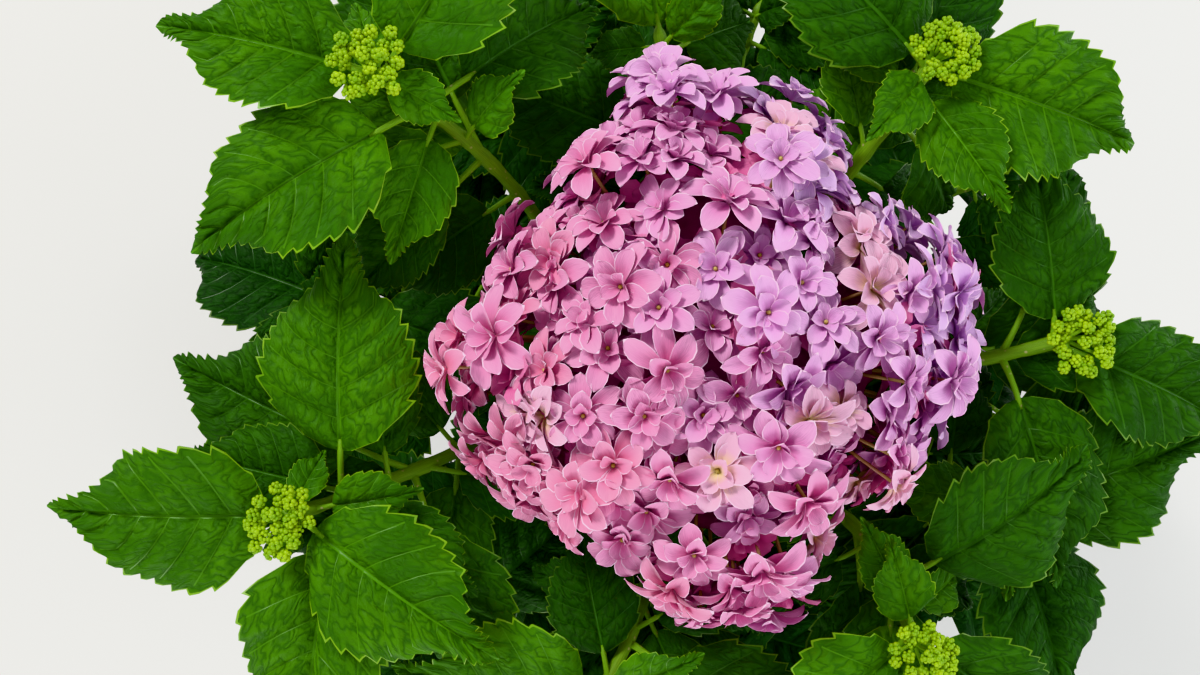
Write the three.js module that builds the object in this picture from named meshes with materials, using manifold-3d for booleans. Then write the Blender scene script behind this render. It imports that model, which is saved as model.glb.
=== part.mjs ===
// A mophead hydrangea in its nursery pot: pot, growing mix, canes, boughs, leafy shoots and the flower head.
// Millimetres, +Z up. The origin is the middle of the pot's underside.
import * as THREE from 'three';
import Module from 'manifold-3d';

const wasm = await Module();
wasm.setup();

// Driving dimensions
const POT_HEIGHT = 240;
const POT_RIM_RADIUS = 135;
const POT_FOOT_RADIUS = 112;
const POT_WALL = 2.4;
const POT_LIP_HEIGHT = 19;
const POT_LIP_PROUD = 5.5;
const MIX_BELOW_RIM = 26;
const SEAT_GAP = 0.3;
const THIN = 0.02;
const TOLERANCES = [0.03, 0.06, 0.1, 0.15, 0.2, 0.3];
const TWIG_SIDES = 5;
const TWIG_TURNS = [0, 0.15, 0.3, 0.45, 0.6, 0.75, 0.9];
const ROUND_SIDES = 40;

const FIRST_CANE_BEARING = 18;
const CANE_RING = 36;
const CANE_FORK_RING = 64;
const CANE_FORK_RISE = 64;
const CANE_FOOT_RADIUS = 10.5;
const CANE_WAIST_RADIUS = 6.4;
const CANE_FORK_RADIUS = 8.6;
const BOUGH_FOOT_RADIUS = 4;
const BOUGH_TIP_RADIUS = 3.5;
const TWIG_TIP_RADIUS = 2.9;
const PETIOLE_ROOT_RADIUS = 1.5;
const PETIOLE_RADIUS = 1.4;

const HEAD_CENTRE = [-22, 7];
const HEAD_RADIUS = 125;
const HEAD_SEAT_HEIGHT = 384;
const HEAD_EDGE_HEIGHT = 431;
const HEAD_DOME = 62;
const FLORET_COUNT = 76;
const FLORET_RADIUS = 20;
const FLORET_PETALS = 5;

const LEAF_LENGTH = 118;
const LEAF_WIDTH = 0.62;
const LEAF_THICKNESS = 0.02;
const LEAF_CLEARANCE = 3.2;
const LEAF_SKIRT = 5;
const BLADE_STATIONS = [0.26, 0.66];
const BLADE_TOP_STRIPS = 2;

const DEGREE = Math.PI / 180;
const GOLDEN_ANGLE = 137.508 * DEGREE;

// Where the head's outline is drawn in between its lobes: bearing, depth and half width, in degrees
const HEAD_CLEFTS = [
  { bearing: 48, depth: 0.34, width: 14 },
  { bearing: 142, depth: 0.3, width: 15 },
  { bearing: 170, depth: 0.16, width: 10 },
  { bearing: 235, depth: 0.27, width: 14 },
  { bearing: 311, depth: 0.3, width: 14 },
  { bearing: 335, depth: 0.1, width: 12 },
];

// The upper shoots: bearing and reach from the pot's axis, height of the tip, bearing of the lower shoot
// that forks off beside it, and the bearings of the leaf pairs from the tip down
const UPPER_SHOOTS = [
  { bearing: 4, reach: 166, height: 432, lower: 32, budded: true,
    pairs: [[343, 130], [297, 70], [60, 250], [20, 205]] },
  { bearing: 60, reach: 174, height: 452, lower: 82, budded: true,
    pairs: [[350, 141], [72, 300], [110, 250], [324, 165]] },
  { bearing: 105, reach: 172, height: 412, lower: 123, budded: false,
    pairs: [[106, 10], [143, 45], [60, 160], [85, 190]] },
  { bearing: 144, reach: 233, height: 458, lower: 171, budded: true,
    pairs: [[173, 57], [213, 20], [300, 120], [287, 118]] },
  { bearing: 198, reach: 245, height: 432, lower: 224, budded: true,
    pairs: [[184, 324], [89, 263], [135, 230], [155, 290]] },
  { bearing: 247, reach: 190, height: 402, lower: 273, budded: false,
    pairs: [[173, 100], [330, 255], [50, 210], [220, 300]] },
  { bearing: 300, reach: 170, height: 430, lower: 315, budded: true,
    pairs: [[329, 190], [62, 262], [20, 215], [26, 285]] },
  { bearing: 331, reach: 176, height: 388, lower: 347, budded: false,
    pairs: [[21, 300], [40, 215], [75, 270], [331, 150]] },
];
const LOWER_REACH = [222, 214, 226, 238, 240, 224, 216, 226];
const LOWER_HEIGHT = [300, 310, 294, 306, 296, 308, 290, 298];

// How far up its shoot each leaf pair stands, its size, its petiole and how it is held, from the tip down
const UPPER_TIERS = [
  { place: 0.95, size: 0.93, petiole: 14, rise: 5, bend: 42 },
  { place: 0.76, size: 0.96, petiole: 24, rise: -4, bend: 46 },
  { place: 0.98, size: 0.5, petiole: 9, rise: 10, bend: 32 },
  { place: 0.44, size: 0.92, petiole: 30, rise: -12, bend: 42 },
];
const LOWER_TIERS = [
  { place: 0.985, size: 0.62, petiole: 9, rise: 14, bend: 36, turn: 78 },
  { place: 0.86, size: 0.90, petiole: 20, rise: -10, bend: 50, turn: -6 },
  { place: 0.56, size: 1.0, petiole: 27, rise: -22, bend: 54, turn: 84 },
  { place: 0.24, size: 0.88, petiole: 26, rise: -28, bend: 48, turn: 34 },
];
const FLOWER_TIERS = [
  { place: 0.92, size: 0.98, petiole: 24, rise: -4, bend: 40, turn: 20 },
  { place: 0.62, size: 1.0, petiole: 28, rise: -10, bend: 44, turn: 106 },
  { place: 0.3, size: 0.9, petiole: 28, rise: -14, bend: 40, turn: 62 },
];

// What is tried in turn when a leaf would leave its shoot's space: a swing, a dip and a smaller blade
const TRIES = [
  { swing: 0, dip: 0, size: 1 },
  { swing: 12, dip: 5, size: 1 },
  { swing: -12, dip: -6, size: 1 },
  { swing: 6, dip: 16, size: 0.95 },
  { swing: -6, dip: -16, size: 0.95 },
  { swing: 24, dip: -8, size: 0.9 },
  { swing: -24, dip: 8, size: 0.9 },
  { swing: 34, dip: 12, size: 0.85 },
  { swing: -34, dip: -12, size: 0.85 },
  { swing: 16, dip: -26, size: 0.8 },
  { swing: -16, dip: 24, size: 0.8 },
  { swing: 46, dip: 0, size: 0.72 },
  { swing: -46, dip: 0, size: 0.72 },
  { swing: 30, dip: 22, size: 0.7 },
  { swing: -30, dip: 30, size: 0.7 },
  { swing: 0, dip: -34, size: 0.7 },
  { swing: 60, dip: -10, size: 0.62 },
  { swing: -60, dip: -10, size: 0.62 },
  { swing: 20, dip: -44, size: 0.6 },
  { swing: -20, dip: 44, size: 0.55 },
];

// Vectors as plain triples
const plus = (a, b) => [a[0] + b[0], a[1] + b[1], a[2] + b[2]];
const minus = (a, b) => [a[0] - b[0], a[1] - b[1], a[2] - b[2]];
const times = (a, k) => [a[0] * k, a[1] * k, a[2] * k];
const dot = (a, b) => a[0] * b[0] + a[1] * b[1] + a[2] * b[2];
const cross = (a, b) => [
  a[1] * b[2] - a[2] * b[1],
  a[2] * b[0] - a[0] * b[2],
  a[0] * b[1] - a[1] * b[0],
];
const size = (a) => Math.sqrt(dot(a, a));
const unit = (a) => times(a, 1 / size(a));
const blend = (a, b, t) => plus(times(a, 1 - t), times(b, t));
const limit = (value, low, high) => Math.min(high, Math.max(low, value));

function polar(bearing, radius, height) {
  return [radius * Math.cos(bearing * DEGREE), radius * Math.sin(bearing * DEGREE), height];
}

// A repeatable number between low and high for one draw of one leaf of one shoot
function drawn(shoot, leaf, draw, low, high) {
  const wave = Math.sin(shoot * 12.9898 + leaf * 78.233 + draw * 37.719) * 43758.5453;
  return low + (high - low) * (wave - Math.floor(wave));
}

// Limbs are quadratic curves with a radius that goes evenly from foot to tip
function limbPoint(limb, t) {
  return blend(blend(limb.foot, limb.knee, t), blend(limb.knee, limb.tip, t), t);
}

function limbHeading(limb, t) {
  return unit(blend(minus(limb.knee, limb.foot), minus(limb.tip, limb.knee), t));
}

function limbRadius(limb, t) {
  if (limb.waist === undefined) {
    return limb.footRadius + (limb.tipRadius - limb.footRadius) * t;
  }
  const below = limb.footRadius + (limb.waist - limb.footRadius) * Math.sqrt(Math.min(1, t / 0.4));
  const above = limb.waist + (limb.tipRadius - limb.waist) * Math.max(0, (t - 0.6) / 0.4) ** 2;
  return t < 0.5 ? below : above;
}

function makeCane(number) {
  const lean = FIRST_CANE_BEARING + 360 * (number - 1) / UPPER_SHOOTS.length;
  const ground = POT_HEIGHT - MIX_BELOW_RIM + SEAT_GAP;
  const foot = polar(lean, CANE_RING, ground);
  const tip = polar(lean, CANE_FORK_RING, ground + CANE_FORK_RISE);
  const knee = polar(lean, CANE_RING, ground + 0.6 * CANE_FORK_RISE);
  return {
    name: `cane_${number}`, bearing: lean, foot, knee, tip,
    footRadius: CANE_FOOT_RADIUS, waist: CANE_WAIST_RADIUS, tipRadius: CANE_FORK_RADIUS,
  };
}

// The tip cut of a limb is square to its heading, so what it carries starts along that heading,
// a seat gap away
function makeBough(name, cane, sideways, tip, lift) {
  const heading = limbHeading(cane, 1);
  const across = unit(cross([0, 0, 1], heading));
  const foot = plus(plus(cane.tip, times(heading, SEAT_GAP)), times(across, sideways));
  const knee = plus(foot, times(heading, lift));
  return { name, bearing: 0, foot, knee, tip, footRadius: BOUGH_FOOT_RADIUS, tipRadius: BOUGH_TIP_RADIUS };
}

function makeTwig(name, bough, tip, lift) {
  const heading = limbHeading(bough, 1);
  const foot = plus(bough.tip, times(heading, SEAT_GAP));
  const knee = plus(foot, times(heading, lift));
  return { name, foot, knee, tip, footRadius: BOUGH_TIP_RADIUS, tipRadius: TWIG_TIP_RADIUS };
}

function growLimbs() {
  const canes = [];
  const boughs = [];
  const shoots = [];
  UPPER_SHOOTS.forEach((shoot, index) => {
    const number = index + 1;
    const cane = makeCane(number);
    const lowerReach = LOWER_REACH[index];
    const lowerHeight = LOWER_HEIGHT[index];
    const upperTip = polar(shoot.bearing, 0.56 * shoot.reach, 0.5 * (cane.tip[2] + shoot.height) - 8);
    const lowerTip = polar(shoot.lower, 0.57 * lowerReach, cane.tip[2] + 9);
    const upperBough = makeBough(`upper_bough_${number}`, cane, -BOUGH_FOOT_RADIUS - 0.3, upperTip, 34);
    const lowerBough = makeBough(`lower_bough_${number}`, cane, BOUGH_FOOT_RADIUS + 0.3, lowerTip, 26);
    const upperTwig = makeTwig(`upper_foliage_${number}`, upperBough,
      polar(shoot.bearing, shoot.reach, shoot.height), 0.72 * size(minus(upperTip, cane.tip)));
    const lowerTwig = makeTwig(`lower_foliage_${number}`, lowerBough,
      polar(shoot.lower, lowerReach, lowerHeight), 0.45 * size(minus(lowerTip, cane.tip)));
    canes.push(cane);
    boughs.push(upperBough, lowerBough);
    shoots.push({ twig: upperTwig, number, bearing: shoot.bearing, tiers: UPPER_TIERS, pairs: shoot.pairs,
      budded: shoot.budded });
    shoots.push({ twig: lowerTwig, number: number + 20, bearing: shoot.lower, tiers: LOWER_TIERS,
      budded: false });
  });
  const ground = POT_HEIGHT - MIX_BELOW_RIM + SEAT_GAP;
  const forkHeight = ground + CANE_FORK_RISE;
  const middle = {
    name: 'cane_9', foot: [2, -1, ground], knee: [2, -1, ground + 36], tip: [-10, 2, forkHeight],
    footRadius: CANE_FOOT_RADIUS, waist: CANE_WAIST_RADIUS, tipRadius: CANE_WAIST_RADIUS,
  };
  canes.push(middle);
  const heading = limbHeading(middle, 1);
  const start = plus(middle.tip, times(heading, SEAT_GAP));
  const flowering = {
    name: 'flowering_shoot', foot: start, knee: plus(start, times(heading, 40)),
    tip: [HEAD_CENTRE[0], HEAD_CENTRE[1], HEAD_SEAT_HEIGHT], footRadius: 5.2, tipRadius: 4.6,
  };
  shoots.push({ twig: flowering, number: 50, bearing: 0, tiers: FLOWER_TIERS, budded: false });
  return { canes, boughs, shoots };
}

// A leaf is an arched blade laid on its chord: x from base to tip, y across, z up from the blade's face
function bladeHalfWidth(leaf, u) {
  const rise = 0.62;
  const fall = 1.08;
  const widest = rise / (rise + fall);
  const peak = widest ** rise * (1 - widest) ** fall;
  return 0.5 * leaf.width * (Math.max(u, 0) ** rise * Math.max(1 - u, 0) ** fall) / peak;
}

function midribPoint(leaf, u) {
  const slope = leaf.bend * (0.5 - u);
  return {
    x: leaf.length * (Math.sin(0.5 * leaf.bend) - Math.sin(slope)) / leaf.bend,
    z: leaf.length * (Math.cos(slope) - Math.cos(0.5 * leaf.bend)) / leaf.bend,
    slope,
  };
}

function bladeBulge(leaf, u, s) {
  const half = bladeHalfWidth(leaf, u);
  const ripple = leaf.wave * leaf.width * s * s * Math.sin(2 * Math.PI * (1.6 * u + leaf.phase));
  return half * (leaf.fold * Math.abs(s) - leaf.curl * s * s) + ripple * half / (0.5 * leaf.width);
}

function leafPoint(leaf, u, s, lift) {
  const rib = midribPoint(leaf, u);
  const up = bladeBulge(leaf, u, s) + lift;
  const x = rib.x - up * Math.sin(rib.slope);
  const y = s * bladeHalfWidth(leaf, u);
  const z = rib.z + up * Math.cos(rib.slope);
  return plus(leaf.base, plus(times(leaf.along, x), plus(times(leaf.across, y), times(leaf.face, z))));
}

function makeLeaf(stalk, bearing, rise, plan) {
  const h = bearing * DEGREE;
  const e = rise * DEGREE;
  const side = [-Math.sin(h), Math.cos(h), 0];
  const normal = [-Math.sin(e) * Math.cos(h), -Math.sin(e) * Math.sin(h), Math.cos(e)];
  const leaf = {
    ...plan,
    stalk,
    along: [Math.cos(e) * Math.cos(h), Math.cos(e) * Math.sin(h), Math.sin(e)],
    across: plus(times(side, Math.cos(plan.roll)), times(normal, Math.sin(plan.roll))),
    face: plus(times(normal, Math.cos(plan.roll)), times(side, -Math.sin(plan.roll))),
  };
  const climb = (rise + 24) * DEGREE;
  const reach = [Math.cos(climb) * Math.cos(h), Math.cos(climb) * Math.sin(h), Math.sin(climb)];
  leaf.base = plus(stalk, times(reach, plan.petiole));
  leaf.middle = plus(leaf.base, times(leaf.along, 0.5 * leaf.length));
  leaf.samples = [];
  for (let i = 0; i <= 10; i += 1) {
    for (let j = -3; j <= 3; j += 1) {
      leaf.samples.push(leafPoint(leaf, i / 10, j / 3, 0));
    }
  }
  leaf.stalkPoints = [0.2, 0.4, 0.6, 0.8, 1].map((t) => blend(stalk, leaf.base, t));
  return leaf;
}

// How far a point lies above the blade's middle surface, or null where it is off the blade
function heightOver(leaf, point) {
  const away = minus(point, leaf.base);
  const x = dot(away, leaf.along);
  const y = dot(away, leaf.across);
  const chord = midribPoint(leaf, 1).x;
  if (x < -LEAF_SKIRT || x > chord + LEAF_SKIRT || Math.abs(y) > 0.5 * leaf.width + LEAF_SKIRT) {
    return null;
  }
  let u = limit(x / chord, 0, 1);
  const rough = midribPoint(leaf, u);
  u = limit(u + (x - rough.x) / (leaf.length * Math.cos(rough.slope)), 0, 1);
  const half = bladeHalfWidth(leaf, u);
  if (Math.abs(y) > half + LEAF_SKIRT) {
    return null;
  }
  const rib = midribPoint(leaf, u);
  const s = half > 0.5 ? limit(y / half, -1, 1) : 0;
  const surface = rib.z + bladeBulge(leaf, u, s) * Math.cos(rib.slope);
  return (dot(away, leaf.face) - surface) * Math.cos(rib.slope);
}

// True where some of the points come within a clearance of the blade, or lie on both of its sides
function bladeMeets(leaf, points, clearance) {
  let above = false;
  let below = false;
  for (const point of points) {
    const height = heightOver(leaf, point);
    if (height !== null) {
      if (Math.abs(height) < clearance) {
        return true;
      }
      above = above || height > 0;
      below = below || height < 0;
      if (above && below) {
        return true;
      }
    }
  }
  return false;
}

function leavesMeet(one, other) {
  if (size(minus(one.middle, other.middle)) > 0.5 * (one.length + other.length) + 14) {
    return false;
  }
  return bladeMeets(one, other.samples, LEAF_CLEARANCE)
    || bladeMeets(other, one.samples, LEAF_CLEARANCE)
    || bladeMeets(one, other.stalkPoints, LEAF_CLEARANCE)
    || bladeMeets(other, one.stalkPoints, LEAF_CLEARANCE);
}

function headOutline(bearing) {
  let radius = HEAD_RADIUS;
  for (const cleft of HEAD_CLEFTS) {
    const off = ((bearing - cleft.bearing + 540) % 360) - 180;
    radius *= 1 - cleft.depth * Math.exp(-((off / cleft.width) ** 2));
  }
  return radius;
}

function inHead(point) {
  const x = point[0] - HEAD_CENTRE[0];
  const y = point[1] - HEAD_CENTRE[1];
  const bearing = Math.atan2(y, x) / DEGREE + 360;
  return point[2] > HEAD_SEAT_HEIGHT + 12 && Math.hypot(x, y) < headOutline(bearing) + FLORET_RADIUS + 2;
}

function inPot(point) {
  return point[2] < POT_HEIGHT + 8 && Math.hypot(point[0], point[1]) < POT_RIM_RADIUS + POT_LIP_PROUD + 6;
}

function limbSamples(limb) {
  const points = [];
  const steps = Math.ceil(size(minus(limb.tip, limb.foot)) / 6);
  for (let i = 0; i <= steps; i += 1) {
    points.push(limbPoint(limb, i / steps));
  }
  return points;
}

function stalkMeets(leaf, limb) {
  for (const point of leaf.stalkPoints) {
    for (const other of limb.samples) {
      if (size(minus(point, other)) < limb.footRadius + 4.5) {
        return true;
      }
    }
  }
  return false;
}

function leafIsClear(leaf, twig, leaves, limbs, clusters) {
  if (leaf.samples.some((point) => inHead(point) || inPot(point))) {
    return false;
  }
  if (leaf.stalkPoints.some((point) => inHead(point) || inPot(point))) {
    return false;
  }
  for (const limb of limbs) {
    if (size(minus(leaf.middle, limb.middle)) < 0.5 * leaf.length + limb.halfLength + 14) {
      if (bladeMeets(leaf, limb.samples, limb.footRadius + 2.6)) {
        return false;
      }
      if (limb !== twig && stalkMeets(leaf, limb)) {
        return false;
      }
    }
  }
  if (leaf.samples.some((point) => clusters.some((centre) => inCluster(point, centre)))) {
    return false;
  }
  return !leaves.some((other) => leavesMeet(leaf, other));
}

// Flower buds stand in a loose ring on short stalks over the tip of a shoot
const BUD_RING = 15;
const BUD_RISE = 15;
const BUD_COUNT = 9;
const BUD_RADIUS = 4.6;

function clusterCentre(twig) {
  return plus(twig.tip, [0, 0, BUD_RISE]);
}

function inCluster(point, centre) {
  const away = minus(point, centre);
  return Math.abs(away[2]) < BUD_RADIUS + 4 && Math.hypot(away[0], away[1]) < BUD_RING + BUD_RADIUS + 2;
}

function planLeaf(shoot, tier, row, side, attempt) {
  const key = row * 2 + side;
  const length = LEAF_LENGTH * tier.size * attempt.size * drawn(shoot.number, key, 1, 0.93, 1.07);
  return {
    row,
    length,
    width: length * LEAF_WIDTH * drawn(shoot.number, key, 2, 0.92, 1.1),
    bend: tier.bend * DEGREE * drawn(shoot.number, key, 3, 0.75, 1.25),
    fold: drawn(shoot.number, key, 4, 0.22, 0.42),
    curl: drawn(shoot.number, key, 5, 0.1, 0.34),
    wave: drawn(shoot.number, key, 6, 0.02, 0.06),
    phase: drawn(shoot.number, key, 7, 0, 1),
    roll: drawn(shoot.number, key, 8, -14, 14) * DEGREE,
    petiole: tier.petiole * drawn(shoot.number, key, 9, 0.9, 1.15),
  };
}

function leafBearing(shoot, tier, row, side) {
  if (shoot.pairs) {
    return shoot.pairs[row][side];
  }
  return shoot.bearing + tier.turn + 180 * side + drawn(shoot.number, row * 2 + side, 10, -9, 9);
}

function growLeaves(shoots, limbs) {
  const clusters = shoots.filter((shoot) => shoot.budded).map((shoot) => clusterCentre(shoot.twig));
  const leaves = [];
  const rows = Math.max(...shoots.map((shoot) => shoot.tiers.length));
  for (let row = 0; row < rows; row += 1) {
    for (const shoot of shoots) {
      const tier = shoot.tiers[row];
      if (tier) {
        for (let side = 0; side < 2; side += 1) {
          const leaf = tryLeaf(shoot, tier, row, side, leaves, limbs, clusters);
          if (leaf) {
            leaf.owner = shoot.twig.name;
            leaves.push(leaf);
          }
        }
      }
    }
  }
  return leaves;
}

function tryLeaf(shoot, tier, row, side, leaves, limbs, clusters) {
  const stalk = limbPoint(shoot.twig, tier.place);
  for (const attempt of TRIES) {
    const bearing = leafBearing(shoot, tier, row, side) + attempt.swing;
    const rise = tier.rise + drawn(shoot.number, row * 2 + side, 11, -5, 5) + attempt.dip;
    const leaf = makeLeaf(stalk, bearing, rise, planLeaf(shoot, tier, row, side, attempt));
    if (leafIsClear(leaf, shoot.twig, leaves, limbs, clusters)) {
      return leaf;
    }
  }
  return null;
}

// Closed solids from rings of points, each ring the same length, closed by a point at each end.
// The strips from the one numbered folded on have their diagonals laid the other way.
function ringSolid(rings, start, end, folded = Infinity) {
  const points = [];
  const faces = [];
  const count = rings[0].length;
  rings.forEach((ring) => points.push(...ring));
  for (let r = 0; r + 1 < rings.length; r += 1) {
    for (let i = 0; i < count; i += 1) {
      const a = r * count + i;
      const b = r * count + (i + 1) % count;
      if (i < folded) {
        faces.push([a, b, b + count], [a, b + count, a + count]);
      } else {
        faces.push([a, b, a + count], [b, b + count, a + count]);
      }
    }
  }
  const first = points.push(start) - 1;
  const last = points.push(end) - 1;
  const top = (rings.length - 1) * count;
  for (let i = 0; i < count; i += 1) {
    const next = (i + 1) % count;
    faces.push([first, next, i], [last, top + i, top + next]);
  }
  return toSolid(points, faces);
}

function toSolid(points, faces) {
  const solid = new wasm.Manifold(new wasm.Mesh({
    numProp: 3,
    vertProperties: new Float32Array(points.flat()),
    triVerts: new Uint32Array(faces.flat()),
  }));
  if (solid.volume() <= 0) {
    throw new Error('a solid has its faces turned in');
  }
  return solid;
}

function ringAround(centre, heading, radius, sides, turn) {
  const reference = Math.abs(heading[2]) > 0.95 ? [1, 0, 0] : [0, 0, 1];
  const across = unit(cross(reference, heading));
  const up = cross(heading, across);
  const ring = [];
  for (let i = 0; i < sides; i += 1) {
    const angle = 2 * Math.PI * (i + turn) / sides;
    const out = plus(times(across, Math.cos(angle)), times(up, Math.sin(angle)));
    ring.push(plus(centre, times(out, radius)));
  }
  return ring;
}

function limbSolid(limb, sides, steps, turn) {
  const rings = [];
  for (let i = 0; i <= steps; i += 1) {
    const t = i / steps;
    rings.push(ringAround(limbPoint(limb, t), limbHeading(limb, t), limbRadius(limb, t), sides, turn));
  }
  return ringSolid(rings, limb.foot, limb.tip);
}

// One closed form from the petiole's root in the twig to the blade's tip, a flat diamond in section.
// Its underside is folded along the same diagonals as its top, so that the two never cross on a
// twisted blade.
function leafSolid(leaf) {
  const heading = unit(minus(leaf.base, leaf.stalk));
  const across = unit(cross([0, 0, 1], heading));
  const up = cross(heading, across);
  const petioleRing = (place, radius) => [
    plus(place, times(across, radius)),
    plus(place, times(up, radius)),
    plus(place, times(across, -radius)),
    plus(place, plus(times(up, -radius), times(across, -radius))),
  ];
  const lift = 0.5 * LEAF_THICKNESS * leaf.length;
  const bladeRing = (u) => [
    leafPoint(leaf, u, 1, 0),
    leafPoint(leaf, u, 0, lift),
    leafPoint(leaf, u, -1, 0),
    leafPoint(leaf, u, 0, -lift),
  ];
  const rings = [
    petioleRing(leaf.stalk, PETIOLE_ROOT_RADIUS),
    petioleRing(leafPoint(leaf, 0.01, 0, 0), PETIOLE_RADIUS),
  ];
  for (const u of BLADE_STATIONS) {
    rings.push(bladeRing(u));
  }
  return ringSolid(rings, leaf.stalk, leafPoint(leaf, 1, 0, 0), BLADE_TOP_STRIPS);
}

// Each ray of a bud cluster widens from the twig's tip to a small pointed group of buds
function budSolids(twig) {
  const centre = clusterCentre(twig);
  const solids = [];
  for (let i = 0; i < BUD_COUNT; i += 1) {
    const inner = i === BUD_COUNT - 1;
    const bearing = 360 * i / (BUD_COUNT - 1);
    const place = inner ? plus(centre, [2, 1, 3]) : plus(centre, polar(bearing, BUD_RING, 2 * (i % 2)));
    const root = plus(limbPoint(twig, 0.975), inner ? [0, 0, 0] : polar(bearing, 1.3, 0));
    const heading = unit(minus(place, root));
    const rings = [ringAround(place, heading, BUD_RADIUS, 4, 0)];
    solids.push(ringSolid(rings, root, plus(place, times(heading, BUD_RADIUS))));
  }
  return solids;
}

// The least altitude of any triangle of a solid
function thinnest(solid) {
  const { vertProperties, triVerts } = solid.getMesh();
  const corner = (t, k) => Array.from(vertProperties.subarray(3 * triVerts[t + k], 3 * triVerts[t + k] + 3));
  let least = Infinity;
  for (let t = 0; t < triVerts.length; t += 3) {
    const [a, b, c] = [corner(t, 0), corner(t, 1), corner(t, 2)];
    const longest = Math.max(size(minus(b, a)), size(minus(c, b)), size(minus(a, c)));
    least = Math.min(least, size(cross(minus(b, a), minus(c, a))) / longest);
  }
  return least;
}

// Joins solids, fills hollows that the joining seals and drops loose scraps, then takes out the slivers
// along the seams by the finest tolerance that leaves none, or gives null where none does
function fuse(solids) {
  const pieces = wasm.Manifold.union(solids).decompose();
  const largest = pieces.reduce((best, piece) => (piece.volume() > best.volume() ? piece : best));
  for (const tolerance of TOLERANCES) {
    const solid = largest.asOriginal().simplify(tolerance).asOriginal().simplify(tolerance);
    if (thinnest(solid) > THIN && solid.decompose().length === 1) {
      return solid;
    }
  }
  return null;
}

function shootSolid(shoot, leaves) {
  const carried = leaves.map(leafSolid);
  if (shoot.budded) {
    carried.push(...budSolids(shoot.twig));
  }
  for (const turn of TWIG_TURNS) {
    const solid = fuse([limbSolid(shoot.twig, TWIG_SIDES, 3, turn), ...carried]);
    if (solid) {
      return solid;
    }
  }
  throw new Error(`${shoot.twig.name} keeps slivers at every turn of its twig`);
}

// A floret's place on the dome, its facing and its size
function floretPlan(number) {
  const share = (number + 0.5) / FLORET_COUNT;
  const slant = Math.acos(1 - 1.17 * share);
  const turn = number * GOLDEN_ANGLE;
  const bearing = (turn / DEGREE) % 360;
  const radius = headOutline(bearing);
  const jut = drawn(70, number, 1, -5, 6);
  const level = HEAD_EDGE_HEIGHT + (HEAD_DOME + jut) * Math.cos(slant);
  const out = (radius + jut) * Math.sin(slant);
  const centre = [
    HEAD_CENTRE[0] + out * Math.cos(turn),
    HEAD_CENTRE[1] + out * Math.sin(turn),
    level,
  ];
  const lean = slant * 0.9;
  const facing = unit([
    Math.sin(lean) * Math.cos(turn) + drawn(70, number, 2, -0.24, 0.24),
    Math.sin(lean) * Math.sin(turn) + drawn(70, number, 3, -0.24, 0.24),
    Math.cos(lean) + drawn(70, number, 4, -0.1, 0.2),
  ]);
  return {
    centre,
    facing,
    radius: FLORET_RADIUS * drawn(70, number, 5, 0.84, 1.0),
    turn: drawn(70, number, 6, 0, 1),
    core: blend([HEAD_CENTRE[0], HEAD_CENTRE[1], HEAD_EDGE_HEIGHT - 6], centre, 0.66),
  };
}

// A floret is a cupped star of petals over a calyx that tapers down into the core
function floretSolid(plan) {
  const { centre, facing, radius, turn, core } = plan;
  const ring = ringAround(centre, facing, 1, 2 * FLORET_PETALS, turn).map((point, i) => {
    const out = minus(point, centre);
    const tip = i % 2 === 0;
    const reach = tip ? radius : 0.5 * radius;
    return plus(plus(centre, times(out, reach)), times(facing, tip ? 0.16 * radius : 0));
  });
  return ringSolid([ring], core, plus(centre, times(facing, 0.3 * radius)));
}

function headCore() {
  const sides = 20;
  const slants = [90, 72, 50, 26].map((angle) => angle * DEGREE);
  const foot = HEAD_EDGE_HEIGHT - 12;
  const ringAt = (slant, shrink, height) => {
    const ring = [];
    for (let i = 0; i < sides; i += 1) {
      const bearing = 360 * i / sides;
      const out = 0.76 * shrink * headOutline(bearing) * Math.sin(slant);
      ring.push(plus(polar(bearing, out, height), [HEAD_CENTRE[0], HEAD_CENTRE[1], 0]));
    }
    return ring;
  };
  const rings = [ringAt(slants[0], 0.8, foot)];
  for (const slant of slants) {
    rings.push(ringAt(slant, 1, HEAD_EDGE_HEIGHT + 0.76 * HEAD_DOME * Math.cos(slant)));
  }
  const top = [HEAD_CENTRE[0], HEAD_CENTRE[1], HEAD_EDGE_HEIGHT + 0.76 * HEAD_DOME];
  return ringSolid(rings, [HEAD_CENTRE[0], HEAD_CENTRE[1], foot], top);
}

function flowerHeadSolid(flowering) {
  const heading = limbHeading(flowering, 1);
  const seat = plus(flowering.tip, times(heading, SEAT_GAP));
  const stalkTop = [HEAD_CENTRE[0], HEAD_CENTRE[1], HEAD_EDGE_HEIGHT];
  const stalk = { foot: seat, knee: plus(seat, times(heading, 16)), tip: stalkTop, footRadius: 4.6,
    tipRadius: 6 };
  const solids = [limbSolid(stalk, 6, 3, 0), headCore()];
  for (let i = 0; i < FLORET_COUNT; i += 1) {
    solids.push(floretSolid(floretPlan(i)));
  }
  const solid = fuse(solids);
  if (!solid) {
    throw new Error('the flower head keeps slivers');
  }
  return solid;
}

// The pot is a thin tapering wall on a floor, with a thick rolled lip round its mouth
function potRadius(height) {
  return POT_FOOT_RADIUS + (POT_RIM_RADIUS - POT_FOOT_RADIUS) * height / POT_HEIGHT;
}

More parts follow.
